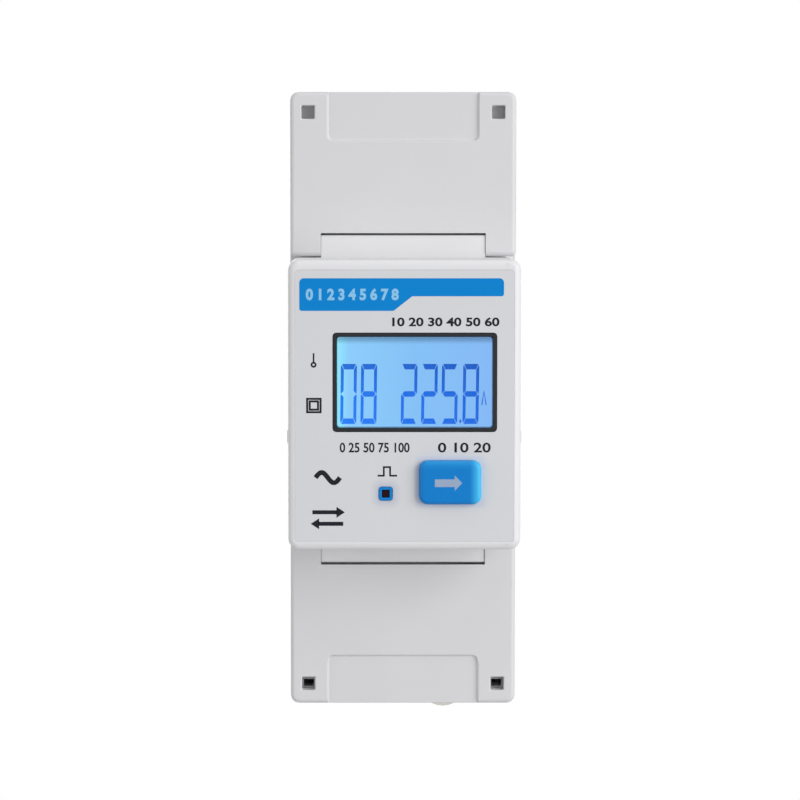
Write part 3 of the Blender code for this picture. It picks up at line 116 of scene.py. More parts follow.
def vector_calc(tree, operation, *values):
    """One step of arithmetic on vectors. Their length comes out as a number."""
    step = add(tree, "ShaderNodeVectorMath", {"operation": operation}, dict(enumerate(values)))
    return step.outputs["Value" if operation == "LENGTH" else "Vector"]


def coordinate(tree, vector, axis):
    """One of a vector's coordinates."""
    return add(tree, "ShaderNodeSeparateXYZ", inputs={"Vector": vector}).outputs[axis]


def remap(tree, value, low=0.0, high=1.0, to_low=0.0, to_high=1.0, eased=False):
    """A value that runs from low to high, made to run from to_low to to_high."""
    step = add(tree, "ShaderNodeMapRange", {"interpolation_type": "SMOOTHSTEP" if eased else "LINEAR"},
               {"Value": value, "From Min": low, "From Max": high, "To Min": to_low, "To Max": to_high})
    return step.outputs["Result"]


def noise(tree, place, patch, detail):
    """Values between 0 and 1 that change over patches of one size."""
    step = add(tree, "ShaderNodeTexNoise", inputs={"Vector": place, "Scale": 1 / patch, "Detail": detail})
    return step.outputs["Fac"]


def blend(tree, share, first, second):
    """A colour between two others. `share` is how much of the second is in it."""
    step = add(tree, "ShaderNodeMix", {"data_type": "RGBA"}, {"Factor": share, 6: first, 7: second})
    return step.outputs[2]


def bumps(tree, height, strength, distance):
    """The way that a surface faces under a fine relief."""
    step = add(tree, "ShaderNodeBump", inputs={"Height": height, "Strength": strength, "Distance": distance})
    return step.outputs["Normal"]


def two_shades(tree, place, patch, detail, pale, deep):
    """Two close shades that drift into each other over patches of one size: the patches, and the colour."""
    patches = noise(tree, place, patch, detail)
    return patches, blend(tree, patches, linear(pale), linear(deep))


def finished_material(material, tree, look):
    """Close a material's tree with its surface, which takes the inputs in `look`."""
    surface = add(tree, "ShaderNodeBsdfPrincipled", inputs=look)
    add(tree, "ShaderNodeOutputMaterial", inputs={"Surface": surface.outputs["BSDF"]})
    return material


def moulded(name, pale, deep, roughness, grain=0.35 * MM, relief=0.006 * MM, ior=1.58, shine=0.5):
    """Moulded plastic: two close shades drift where the melt flowed, under the grain of the mould's wall.

    The real grain is a few hundredths of a millimetre wide. It is drawn coarser, so that it shows.
    """
    material, tree, place = new_material(name)
    shade = two_shades(tree, place, 9 * MM, 3.0, pale, deep)[1]
    grit = noise(tree, place, grain, 2.0)
    return finished_material(material, tree, {
        "Base Color": shade, "Roughness": remap(tree, grit, 0.3, 0.7, roughness - 0.05, roughness + 0.05),
        "Normal": bumps(tree, grit, 0.6, relief), "IOR": ior, "Specular IOR Level": shine})


def in_scene(name, data):
    """A new object of this data, linked into the scene."""
    thing = bpy.data.objects.new(name, data)
    bpy.context.scene.collection.objects.link(thing)
    return thing


def as_mesh(name, mould):
    """What was shaped in a bmesh, as a mesh."""
    mesh = bpy.data.meshes.new(name)
    mould.to_mesh(mesh)
    mould.free()
    return mesh


def made_plain(helper):
    """The plain mesh that a helper object comes to with its modifiers. The helper itself goes."""
    graph = bpy.context.evaluated_depsgraph_get()
    mesh = bpy.data.meshes.new_from_object(helper.evaluated_get(graph), depsgraph=graph)
    helper.modifiers.clear()
    bpy.data.objects.remove(helper)
    return mesh


def place_piece(name, mesh, material, body, slot, *nodes):
    """Put a finished mesh in the scene: it rides on its body and stands for the nodes it is drawn over."""
    piece = in_scene(name, mesh)
    mesh.materials.clear()
    mesh.materials.append(material)
    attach(piece, body)
    if nodes:
        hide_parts(*nodes)
    return piece


def swell(skin, reach):
    """Move a flat piece's side walls outwards, so that only a hairline stays open round it.

    A wall is a face that looks sideways, up or down. A corner between two walls that face nearly opposite
    ways stays where it is.
    """
    moves = []
    for corner in skin.verts:
        walls = []
        for face in corner.link_faces:
            wall = Vector((face.normal.x, 0, face.normal.z))
            if wall.length > 0.9 and all(wall.normalized().dot(other) < 0.999 for other in walls):
                walls.append(wall.normalized())
        if walls and walls[0].dot(walls[-1]) > -0.5:
            moves.append((corner, (walls[0] + walls[-1]) * reach / (1 + walls[0].dot(walls[-1]))))
    for corner, move in moves:
        corner.co += move


def dress(node, material, edge=0.12 * MM, segments=2, reach=0.0, own_edge=0.0, has_own_edge=None,
          reshape=None):
    """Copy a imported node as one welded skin, round the edges that a tool leaves round, and show it instead.

    The side walls move outwards by `reach`, and `reshape` may change the skin further. Edges that pass
    `has_own_edge` are rounded by `own_edge` instead of `edge`.
    """
    source = frame["nodes"][node]
    skin = bmesh.new()
    skin.from_mesh(source.data)
    bmesh.ops.remove_doubles(skin, verts=skin.verts, dist=WELD)
    bmesh.ops.dissolve_limit(skin, angle_limit=FLAT, verts=skin.verts, edges=skin.edges)
    for face in skin.faces:
        face.smooth = True
    if reach:
        swell(skin, reach)
    if reshape:
        reshape(skin)
    widest = max(edge, own_edge)
    weight = skin.edges.layers.float.new("bevel_weight_edge")
    for line in skin.edges:
        if line.is_manifold and line.calc_face_angle() > SHARP:
            own = has_own_edge is not None and has_own_edge([corner.co for corner in line.verts])
            line[weight] = (own_edge if own else edge) / widest
    helper = in_scene(node, as_mesh(node, skin))
    rounding = helper.modifiers.new("rounding", "BEVEL")
    rounding.width = widest
    rounding.segments = segments
    rounding.limit_method = "WEIGHT"
    rounding.use_clamp_overlap = False
    evening = helper.modifiers.new("evening", "WEIGHTED_NORMAL")
    evening.weight = 100
    evening.keep_sharp = True
    return place_piece(f"{node}_skin", made_plain(helper), material, source["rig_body"], SLOTS[node], node)


# Polycarbonate from a spark-eroded mould: soft white, with a broad, weak gloss
white_polycarbonate = moulded("white_polycarbonate_moulded", "#DDDDDF", "#D8D8DA", 0.46)
LIP_Y, LIP_Z = 1.0 * MM, -35.4 * MM     # the foot of the rear slope, behind the latch's way out
LIP = 0.2 * MM                          # the strip left there is thinner than this


def on_mouth_lip(ends):
    """Whether an edge, given by its two ends, bounds the thin strip behind the latch's way out."""
    return all(abs(end.y - LIP_Y) < LIP and abs(end.z - LIP_Z) < LIP for end in ends)


dress("rear_housing", white_polycarbonate, own_edge=0.02 * MM, has_own_edge=on_mouth_lip)


# ---------------------------------------------------------------------------------------------------------
# Rail latch and its spring: a flat slide of unpigmented polyamide behind the rail's lower edge, pushed up
# by a steel compression spring on a peg. Pulling its tab below the body frees the meter from the rail.
# ---------------------------------------------------------------------------------------------------------

# Unpigmented polyamide: warm and a little waxy beside the white housing
latch_polyamide = moulded("natural_polyamide_moulded", "#DAD6CE", "#D0CBC1", 0.45)
dress("rail_latch", latch_polyamide)


def start_tree(name, sizes):
    """An empty tree that makes a shape. `sizes` gives a name and a kind of socket for each of its inputs."""
    tree = bpy.data.node_groups.new(name, "GeometryNodeTree")
    tree.interface.new_socket("Geometry", in_out="INPUT", socket_type="NodeSocketGeometry")
    for label, kind in sizes.items():
        tree.interface.new_socket(label, in_out="INPUT", socket_type=f"NodeSocket{kind}")
    tree.interface.new_socket("Geometry", in_out="OUTPUT", socket_type="NodeSocketGeometry")
    return tree, add(tree, "NodeGroupInput").outputs


def end_tree(tree, shape, finish):
    """Make copies real, give them their finish, and send them out of the tree."""
    real = add(tree, "GeometryNodeRealizeInstances", inputs={"Geometry": shape})
    coated = add(tree, "GeometryNodeSetMaterial",
                 inputs={"Geometry": real.outputs["Geometry"], "Material": finish})
    add(tree, "NodeGroupOutput", inputs={"Geometry": coated.outputs["Geometry"]})


def run_tree(tree, values, start=None, smooth=True):
    """Run a tree with these sizes, on a starting mesh if it needs one, and give back the plain mesh."""
    helper = in_scene(tree.name, start or bpy.data.meshes.new(tree.name))
    growth = helper.modifiers.new(tree.name, "NODES")
    growth.node_group = tree
    for item in tree.interface.items_tree:
        if item.name in values:
            growth[item.identifier] = values[item.name]
    mesh = made_plain(helper)
    for face in mesh.polygons:
        face.use_smooth = smooth
    return mesh


def coil_of_wire():
    """Wire of a round section, wound round the Z axis at an even pitch."""
    tree, sizes = start_tree("coil_of_wire", {
        "Turns": "Float", "Coil radius": "Float", "Length": "Float", "Wire radius": "Float",
        "Wire sides": "Int", "Finish": "Material"})
    turns = add(tree, "GeometryNodeCurveSpiral",
                inputs={"Resolution": 20, "Rotations": sizes["Turns"], "Start Radius": sizes["Coil radius"],
                        "End Radius": sizes["Coil radius"], "Height": sizes["Length"]})
    section = add(tree, "GeometryNodeCurvePrimitiveCircle",
                  inputs={"Resolution": sizes["Wire sides"], "Radius": sizes["Wire radius"]})
    wire = add(tree, "GeometryNodeCurveToMesh",
               inputs={"Curve": turns.outputs["Curve"], "Profile Curve": section.outputs["Curve"],
                       "Fill Caps": True})
    end_tree(tree, wire.outputs["Mesh"], sizes["Finish"])
    return tree


def drawn(name, pale, deep, roughness, grain):
    """Drawn, rolled or turned metal: fine streaks from the tool, and a duller patch here and there.

    Real streaks are about a hundredth of a millimetre apart. They are drawn coarser, so that they show.
    """
    material, tree, place = new_material(name)
    shade = two_shades(tree, place, 3 * MM, 4.0, pale, deep)[1]
    stretch = add(tree, "ShaderNodeMapping", inputs={"Vector": place, "Scale": (1.0, 1.0, 0.08)})
    streaks = noise(tree, stretch.outputs["Vector"], grain, 3.0)
    return finished_material(material, tree, {
        "Base Color": shade, "Metallic": 1.0, "Normal": bumps(tree, streaks, 0.4, 0.004 * MM),
        "Roughness": remap(tree, streaks, to_low=roughness - 0.1, to_high=roughness + 0.12)})


# Hard-drawn spring wire: darker and glossier than the plated parts
spring_wire = drawn("hard_drawn_spring_steel", "#B4B7BA", "#9A9DA1", 0.26, 0.12 * MM)
SPRING_WIRE_RADIUS = 0.2 * MM
SPRING_TURNS = 7.0
coil = coil_of_wire()
spring_low, spring_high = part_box("latch_spring")
spring_middle = (spring_low + spring_high) / 2
spring_mesh = run_tree(coil, {
    "Turns": SPRING_TURNS, "Coil radius": (spring_high.x - spring_low.x) / 2 - SPRING_WIRE_RADIUS,
    "Length": spring_high.z - spring_low.z - 2 * SPRING_WIRE_RADIUS, "Wire radius": SPRING_WIRE_RADIUS,
    "Wire sides": 10, "Finish": spring_wire})
spring_mesh.transform(Matrix.Translation((spring_middle.x, spring_middle.y,
                                          spring_low.z + SPRING_WIRE_RADIUS)))
spring = place_piece("latch_spring_coil", spring_mesh, spring_wire, frame["nodes"]["latch_spring"]["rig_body"],
                     SLOTS["latch_spring"], "latch_spring")
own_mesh(spring)


# ---------------------------------------------------------------------------------------------------------
# Boards: glass-fibre laminate with a green solder mask, the main board on four posts of the rear housing
# and the display board on four posts behind the front face. Small parts are soldered on by machine.
# ---------------------------------------------------------------------------------------------------------


def masked_laminate():
    """Solder mask on both faces over copper tracks 1.3 mm apart, with the sawn edges left bare."""
    material, tree, place = new_material("green_masked_glass_laminate")
    face = add(tree, "ShaderNodeCombineXYZ",
               inputs={"X": coordinate(tree, place, "X"), "Y": coordinate(tree, place, "Z")})
    tracks = add(tree, "ShaderNodeTexBrick", {"offset": 0.37, "squash": 0.6, "squash_frequency": 3},
                 {"Vector": face.outputs["Vector"], "Scale": 1 / (4 * MM), "Color1": linear("#1C5B35"),
                  "Color2": linear("#195231"), "Mortar": linear("#2E7B4B"), "Mortar Size": 0.035,
                  "Brick Width": 1.0, "Row Height": 0.32})
    facing = coordinate(tree, add(tree, "ShaderNodeNewGeometry").outputs["Normal"], "Y")
    on_face = calc(tree, "GREATER_THAN", calc(tree, "ABSOLUTE", facing), 0.7)
    return finished_material(material, tree, {
        "Base Color": blend(tree, on_face, linear("#B9B078"), tracks.outputs["Color"]),
        "Roughness": 0.32, "Normal": bumps(tree, tracks.outputs["Fac"], 0.5, 0.03 * MM)})


# Cured solder mask: deep green with a gloss, paler over the tracks
laminate = masked_laminate()
for node in ("main_board", "display_board"):
    dress(node, laminate, 0.05 * MM, 1)

# Epoxy pressed round the chips: flat black with a sandy face
black_epoxy = moulded("black_epoxy_pressed", "#1E1F21", "#161719", 0.6, 0.12 * MM, 0.006 * MM, 1.55)
# Tin over copper: pale, soft-edged highlights
bright_tin = drawn("tinned_copper", "#D2D4D2", "#BFC2C1", 0.3, 0.15 * MM)


def block_mesh(name, blocks):
    """Plain blocks, each from its lower to its upper corner, in one mesh."""
    mould = bmesh.new()
    for low, high in blocks:
        corners = bmesh.ops.create_cube(mould, size=1.0)["verts"]
        for corner in corners:
            corner.co = [low[axis] if corner.co[axis] < 0 else high[axis] for axis in range(3)]
    return as_mesh(name, mould)


def row_of_copies():
    """One pattern, set out in a straight row at an even step."""
    tree, sizes = start_tree("row_of_copies", {
        "Pattern": "Object", "Count": "Int", "Start": "Vector", "Step": "Vector", "Finish": "Material"})
    line = add(tree, "GeometryNodeMeshLine", {"mode": "OFFSET"},
               {"Count": sizes["Count"], "Start Location": sizes["Start"], "Offset": sizes["Step"]})
    pattern = add(tree, "GeometryNodeObjectInfo", inputs={"Object": sizes["Pattern"]})
    copies = add(tree, "GeometryNodeInstanceOnPoints",
                 inputs={"Points": line.outputs["Mesh"], "Instance": pattern.outputs["Geometry"]})
    end_tree(tree, copies.outputs["Instances"], sizes["Finish"])
    return tree


def parts_on_board():
    """One small part, placed at random over a board's free areas, lying along or across it."""
    tree, sizes = start_tree("parts_on_board", {
        "Pattern": "Object", "Spacing": "Float", "Density": "Float", "Seed": "Int", "Finish": "Material"})
    spots = add(tree, "GeometryNodeDistributePointsOnFaces", {"distribute_method": "POISSON"},
                {"Mesh": sizes["Geometry"], "Distance Min": sizes["Spacing"], "Density Max": sizes["Density"],
                 "Seed": sizes["Seed"]})
    quarter = add(tree, "FunctionNodeRandomValue", {"data_type": "INT"}, {4: 0, 5: 1, "Seed": sizes["Seed"]})
    turn = add(tree, "ShaderNodeCombineXYZ",
               inputs={"Y": calc(tree, "MULTIPLY", quarter.outputs[2], math.pi / 2)})
    pattern = add(tree, "GeometryNodeObjectInfo", inputs={"Object": sizes["Pattern"]})
    copies = add(tree, "GeometryNodeInstanceOnPoints",
                 inputs={"Points": spots.outputs["Points"], "Instance": pattern.outputs["Geometry"],
                         "Rotation": turn.outputs["Vector"]})
    end_tree(tree, copies.outputs["Instances"], sizes["Finish"])
    return tree


def thicken(mould, faces, axis, far):
    """Give flat faces a body: its other side lies at `far` along an axis."""
    for item in bmesh.ops.extrude_face_region(mould, geom=faces)["geom"]:
        if isinstance(item, bmesh.types.BMVert):
            item.co[axis] = far


def bent_strips(name, profiles, low_x, high_x):
    """Flat strips bent to (y, z) profiles, as wide as from low_x to high_x."""
    mould = bmesh.new()
    for profile in profiles:
        side = mould.faces.new([mould.verts.new((low_x, y, z)) for y, z in profile])
        thicken(mould, [side], 0, high_x)
    bmesh.ops.recalc_face_normals(mould, faces=mould.faces)
    return as_mesh(name, mould)


row = row_of_copies()
SEAT_GAP = 0.3 * MM         # a soldered part stands this far off its board
CHIP_LEG_REACH = 0.8 * MM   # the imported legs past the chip's sides
LEG_WIDTH = 0.42            # of the legs' pitch
GULL_WING = (               # a leg's side view in millimetres: out from the chip, and up from the board
    (-0.05, 1.14), (0.72, 1.14), (0.86, 1.0), (0.86, 0.24), (1.3, 0.2), (1.3, 0.02), (0.62, 0.02),
    (0.62, 0.46), (-0.05, 0.46))
CHIPS = {                   # legs on a side, and the board's face that it is soldered to: -1 front, 1 back
    "metering_chip": (6, -1), "bus_isolator": (6, -1), "processor_chip": (8, 1),
}
for node, (legs, up) in CHIPS.items():
    dress(node, black_epoxy, 0.06 * MM, 1)
    low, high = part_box(node)
    face = (high.y if up < 0 else low.y) - up * SEAT_GAP
    profiles = []
    for side, body_side in ((1, high.z - CHIP_LEG_REACH), (-1, low.z + CHIP_LEG_REACH)):
        profiles.append([(face + up * lift * MM, body_side + side * out * MM) for out, lift in GULL_WING])
    pitch = (high.x - low.x) / legs
    leg = bent_strips(f"{node}_leg", profiles, -LEG_WIDTH / 2 * pitch, LEG_WIDTH / 2 * pitch)
    pattern = in_scene("leg_pattern", leg)
    leg_mesh = run_tree(row, {"Pattern": pattern, "Count": legs, "Start": (low.x + pitch / 2, 0, 0),
                              "Step": (pitch, 0, 0), "Finish": bright_tin}, smooth=False)
    bpy.data.objects.remove(pattern)
    place_piece(f"{node}_legs", leg_mesh, bright_tin, "root", SLOTS[node])

# Fired ceramic and glass on the small parts: almost black, with a low gloss
fired_ceramic = moulded("fired_ceramic_glazed", "#33302C", "#24211E", 0.35, 0.1 * MM, 0.002 * MM, 1.6)
small_parts = parts_on_board()
SPACING = 2.6 * MM          # two small parts are never closer than this
DENSITY = 2.0e5             # parts tried on a square metre, before those that are too close go
BODY = [((-0.56, 0.02, -0.4), (0.56, 0.5, 0.4))]    # both in millimetres from the part's foot, y up
ENDS = [((-0.8, 0.0, -0.42), (-0.5, 0.54, 0.42)), ((0.5, 0.0, -0.42), (0.8, 0.54, 0.42))]
main_low, main_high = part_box("main_board")
AREAS = {                   # free areas in millimetres (x, z, x, z), their face's y, and which way is up
    "main_front": ([(-13.5, 23.5, 13.5, 30), (3.5, -8, 13.5, 13), (-13.5, -31, -1.5, -17),
                    (1, -17, 13.5, -10)], main_low.y, -1),
    "main_back": ([(-9, -31, 9, -15)], main_high.y, 1),
    "display_back": ([(6.8, -17, 14.5, 18), (-14.5, -7, -6.8, 18)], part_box("display_board")[1].y, 1),
}
for seed, (where, (areas, face, up)) in enumerate(AREAS.items(), 3):
    patch = bmesh.new()
    for left, bottom, right, top in areas:
        corners = ((left, bottom), (right, bottom), (right, top), (left, top))
        patch.faces.new([patch.verts.new((x * MM, face, z * MM)) for x, z in corners])
    patch_mesh = as_mesh("free_area", patch)
    for label, blocks, finish in (("bodies", BODY, fired_ceramic), ("ends", ENDS, bright_tin)):
        turned = []
        for low, high in blocks:
            near, far = sorted((up * low[1], up * high[1]))
            turned.append((Vector((low[0], near, low[2])) * MM, Vector((high[0], far, high[2])) * MM))
        pattern = in_scene("part_pattern", block_mesh(f"small_part_{label}", turned))
        mesh = run_tree(small_parts, {"Pattern": pattern, "Spacing": SPACING, "Density": DENSITY,
                                      "Seed": seed, "Finish": finish}, patch_mesh.copy(), smooth=False)
        bpy.data.objects.remove(pattern)
        place_piece(f"{where}_small_part_{label}", mesh, finish, "root", "board")

# Soldered pins of the transformer, as they come through to the main board's front
DOME_RADIUS, DOME_HEIGHT = 0.75 * MM, 0.6 * MM
PIN_PITCH, PIN_INSET, PINS = 3.2 * MM, 2.0 * MM, 4      # in each of two rows
dome = bmesh.new()
bmesh.ops.create_uvsphere(dome, u_segments=12, v_segments=8, radius=DOME_RADIUS)
for corner in dome.verts:
    corner.co.y = min(corner.co.y, 0.0) * DOME_HEIGHT / DOME_RADIUS
bmesh.ops.remove_doubles(dome, verts=dome.verts, dist=WELD)
bmesh.ops.recalc_face_normals(dome, faces=dome.faces)
dome_pattern = in_scene("dome_pattern", as_mesh("solder_dome", dome))
wound_low, wound_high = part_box("supply_transformer")
first_x = (wound_low.x + wound_high.x - (PINS - 1) * PIN_PITCH) / 2
solder = bmesh.new()
for pin_z in (wound_low.z + PIN_INSET, wound_high.z - PIN_INSET):
    solder.from_mesh(run_tree(row, {
        "Pattern": dome_pattern, "Count": PINS, "Start": (first_x, main_low.y, pin_z),
        "Step": (PIN_PITCH, 0, 0), "Finish": bright_tin}))
bpy.data.objects.remove(dome_pattern)
place_piece("transformer_solder", as_mesh("transformer_solder", solder), bright_tin, "root", "board")


# ---------------------------------------------------------------------------------------------------------
# Ribbon cable and its sockets: round cores side by side in one grey skin, slack between the two boards,
# pushed into a polyamide socket at each end.
# ---------------------------------------------------------------------------------------------------------

# Unfilled polyamide: grey, slightly translucent at its edges, with a low gloss
grey_polyamide = moulded("grey_polyamide_moulded", "#BDBDB8", "#B1B1AC", 0.5)
for node in ("main_socket", "display_socket", "switch_plunger"):
    dress(node, grey_polyamide, 0.06 * MM)
# Soft vinyl: a grey that drifts little, with a waxy sheen
grey_vinyl = moulded("grey_vinyl_extruded", "#A9ABAD", "#A0A2A5", 0.42, 0.2 * MM, 0.002 * MM, 1.54)
dress("ribbon_cable", grey_vinyl, 0.04 * MM, 1)


def cores_along_a_line():
    """Round cores at an even step, each following the line that the tree is given."""
    tree, sizes = start_tree("cores_along_a_line", {
        "Count": "Int", "Start": "Vector", "Step": "Vector", "Core radius": "Float", "Finish": "Material"})
    line = add(tree, "GeometryNodeMeshToCurve", inputs={"Mesh": sizes["Geometry"]})
    places = add(tree, "GeometryNodeMeshLine", {"mode": "OFFSET"},
                 {"Count": sizes["Count"], "Start Location": sizes["Start"], "Offset": sizes["Step"]})
    copies = add(tree, "GeometryNodeInstanceOnPoints",
                 inputs={"Points": places.outputs["Mesh"], "Instance": line.outputs["Curve"]})
    lines = add(tree, "GeometryNodeRealizeInstances", inputs={"Geometry": copies.outputs["Instances"]})
    section = add(tree, "GeometryNodeCurvePrimitiveCircle",
                  inputs={"Resolution": 10, "Radius": sizes["Core radius"]})
    cores = add(tree, "GeometryNodeCurveToMesh",
                inputs={"Curve": lines.outputs["Geometry"], "Profile Curve": section.outputs["Curve"],
                        "Fill Caps": True})
    end_tree(tree, cores.outputs["Mesh"], sizes["Finish"])
    return tree


CORES = 10
CORE_RADIUS = 0.3 * MM
SKIN_THICKNESS = 0.4 * MM
STRETCHES = 32              # straight stretches in the drawn bow
ribbon_low, ribbon_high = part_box("ribbon_cable")
bow = ribbon_high.z - ribbon_low.z - SKIN_THICKNESS
path_points = []
for step in range(STRETCHES + 1):
    share = step / STRETCHES
    path_points.append((0, ribbon_low.y + (ribbon_high.y - ribbon_low.y) * share,
                        ribbon_high.z - SKIN_THICKNESS / 2 - bow * math.sin(math.pi * share) ** 2))
path_mesh = bpy.data.meshes.new("ribbon_path")
path_mesh.from_pydata(path_points, [(step, step + 1) for step in range(STRETCHES)], [])
core_pitch = (ribbon_high.x - ribbon_low.x) / CORES
core_mesh = run_tree(cores_along_a_line(), {
    "Count": CORES, "Start": (ribbon_low.x + core_pitch / 2, 0, 0), "Step": (core_pitch, 0, 0),
    "Core radius": CORE_RADIUS, "Finish": grey_vinyl}, path_mesh)
place_piece("ribbon_cable_cores", core_mesh, grey_vinyl, "root", SLOTS["ribbon_cable"])


# ---------------------------------------------------------------------------------------------------------
# Power supply behind the main board: a taped transformer on a ferrite core, an electrolytic capacitor in a
# shrunk sleeve, a film capacitor in a potted case, and a dipped ceramic surge protector.
# ---------------------------------------------------------------------------------------------------------


def two_finishes(name, pale, deep, second, roughness, second_where):
    """One piece made of two. `second_where` gives the socket that is 1 where the second one shows."""
    material, tree, place = new_material(name)
    patches, first = two_shades(tree, place, 0.5 * MM, 3.0, pale, deep)
    return finished_material(material, tree, {
        "Base Color": blend(tree, second_where(tree, place), first, linear(second)),
        "Roughness": roughness, "Normal": bumps(tree, patches, 0.5, 0.005 * MM)})


LIMB = 1.15 * MM            # the core shows past the winding by this much at each end
CAN_END = 0.12 * MM         # the sleeve stops this short of the can's end


def past_the_winding(tree, place):
    """1 on the ferrite limbs, at both ends of the taped winding."""
    away = calc(tree, "ABSOLUTE", coordinate(tree, place, "Z"))
    return calc(tree, "GREATER_THAN", away, wound_high.z - LIMB)


def on_the_far_end(tree, place):
    """1 on the flat end that faces away from the board."""
    can_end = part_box("supply_capacitor")[1].y
    return calc(tree, "GREATER_THAN", coordinate(tree, place, "Y"), can_end - CAN_END)


# Yellow polyester tape over the winding, dull grey ferrite past it
taped_winding = two_finishes("yellow_tape_on_ferrite", "#DDA91F", "#CF9A18", "#3A3B3D", 0.4, past_the_winding)
dress("supply_transformer", taped_winding, 0.15 * MM)
# Dark vinyl sleeve, with the can's pressed aluminium end left bare
sleeved_can = two_finishes("dark_sleeve_on_aluminium", "#24262B", "#1C1E22", "#B9BCBE", 0.34, on_the_far_end)
dress("supply_capacitor", sleeved_can, 0.1 * MM)
# Potted case: yellow, flat and even
yellow_case = moulded("yellow_polybutylene_case", "#D8A024", "#CB951D", 0.42, 0.2 * MM, 0.004 * MM, 1.55)
dress("film_capacitor", yellow_case, 0.15 * MM)
# Dipped epoxy powder: glossy blue that runs thin at the rim
blue_epoxy = moulded("blue_epoxy_dipped", "#2458A8", "#1B4A93", 0.28, 0.6 * MM, 0.02 * MM, 1.55)
dress("surge_protector", blue_epoxy, 0.15 * MM)


# ---------------------------------------------------------------------------------------------------------
# Clamps: two large ones for the mains above, four small ones below. A steel screw held behind the deck
# draws a folded steel cage forwards, and the cage presses the wire on a bent contact bar of tinned brass.
# ---------------------------------------------------------------------------------------------------------

# Tinned brass: warm and pale, with soft streaks
tinned_brass = drawn("tinned_brass_rolled", "#D6CDB0", "#C6BC99", 0.33, 0.2 * MM)
# Bright zinc on steel: cool, with a faint blue cast
zinc_steel = drawn("zinc_plated_steel", "#C8CCD0", "#B2B7BC", 0.3, 0.2 * MM)
CLAMPS = {                  # how many, and the screw's head height, shaft radius and pitch in millimetres
    "power": (2, 2.4, 2.0, 0.7), "signal": (4, 1.6, 1.3, 0.5),
}
THREAD_RIDGE = 0.16 * MM    # how far the thread stands out from the shaft
NECK, POINT = 0.3 * MM, 0.25 * MM       # bare shaft under the head and at the tip
for label, (count, head_height, shaft_radius, pitch) in CLAMPS.items():
    for number in range(1, count + 1):
        dress(f"{label}_bar_{number}", tinned_brass, 0.1 * MM)
        dress(f"{label}_cage_{number}", zinc_steel, 0.1 * MM)
        screw = f"{label}_screw_{number}"
        dress(screw, zinc_steel, 0.03 * MM)
        low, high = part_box(screw)
        start = low.y + head_height * MM + NECK
        length = high.y - POINT - start
        thread = run_tree(coil, {"Turns": length / (pitch * MM), "Coil radius": shaft_radius * MM,
                                 "Length": length, "Wire radius": THREAD_RIDGE, "Wire sides": 3,
                                 "Finish": zinc_steel}, smooth=False)
        thread.transform(Matrix.Translation(((low.x + high.x) / 2, start, (low.z + high.z) / 2))
                         @ Matrix.Rotation(-math.pi / 2, 4, "X"))
        place_piece(f"{screw}_thread", thread, zinc_steel, frame["nodes"][screw]["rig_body"], SLOTS[screw])


# ---------------------------------------------------------------------------------------------------------
# Front housing: the half with the nose, the decks that the screwdriver goes through, the sealing lugs and
# the hinge tongues. Injection-moulded white polycarbonate in one shot, with the same grain as the rear.
# ---------------------------------------------------------------------------------------------------------

# The front half comes a shade brighter from its mould than the rear half
bright_polycarbonate = moulded("white_polycarbonate_moulded_front", "#E3E3E5", "#DFDFE1", 0.46)
SEAL_SEAT = -40.7 * MM      # each sealing lug has a step here, only 0.15 mm wide round the wire's hole


def on_seal_seat(ends):
    """Whether an edge lies on the narrow step in a sealing lug, which a wider rounding would fold."""
    return all(abs(end.y - SEAL_SEAT) < WELD for end in ends)


dress("front_housing", bright_polycarbonate, 0.08 * MM, reach=0.07 * MM, own_edge=0.03 * MM,
      has_own_edge=on_seal_seat)


def flat_shapes(name, shapes, back, thickness, material, body, slot):
    """Thin raised shapes on a front face: each is a list of (x, z) points, drawn out from `back` forwards."""
    mould = bmesh.new()
    for shape in shapes:
        face = mould.faces.new([mould.verts.new((x, back, z)) for x, z in shape])
        thicken(mould, [face], 1, back - thickness)
    bmesh.ops.recalc_face_normals(mould, faces=mould.faces)
    return place_piece(name, as_mesh(name, mould), material, body, slot)


# Hairline ridges where the mould's insert met its frame, across the rim above and below the film
NOSE_FACE = -58.0 * MM
RIDGE_X, RIDGE_HALF, RIDGE_END, RIDGE_HEIGHT = 16.05 * MM, 0.06 * MM, 21.95 * MM, 0.03 * MM
FILM_GAP = 0.2 * MM
film_low, film_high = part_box("faceplate_film")
ridges = [[(RIDGE_X - RIDGE_HALF, near), (RIDGE_X + RIDGE_HALF, near), (RIDGE_X + RIDGE_HALF, far),
           (RIDGE_X - RIDGE_HALF, far)]
          for near, far in ((film_high.z + FILM_GAP, RIDGE_END), (film_low.z - FILM_GAP, -RIDGE_END))]
flat_shapes("insert_ridges", ridges, NOSE_FACE, RIDGE_HEIGHT, bright_polycarbonate, "root",
            SLOTS["front_housing"])


# ---------------------------------------------------------------------------------------------------------
# Front film: polycarbonate with a satin face, die-cut round the display, the button and the lamp, printed
# in blue and black, and glued into its recess. Its scales carry plain numbers.
# ---------------------------------------------------------------------------------------------------------

FLANGE = 0.8 * MM           # how far the flanges of the button and the bush reach under the film


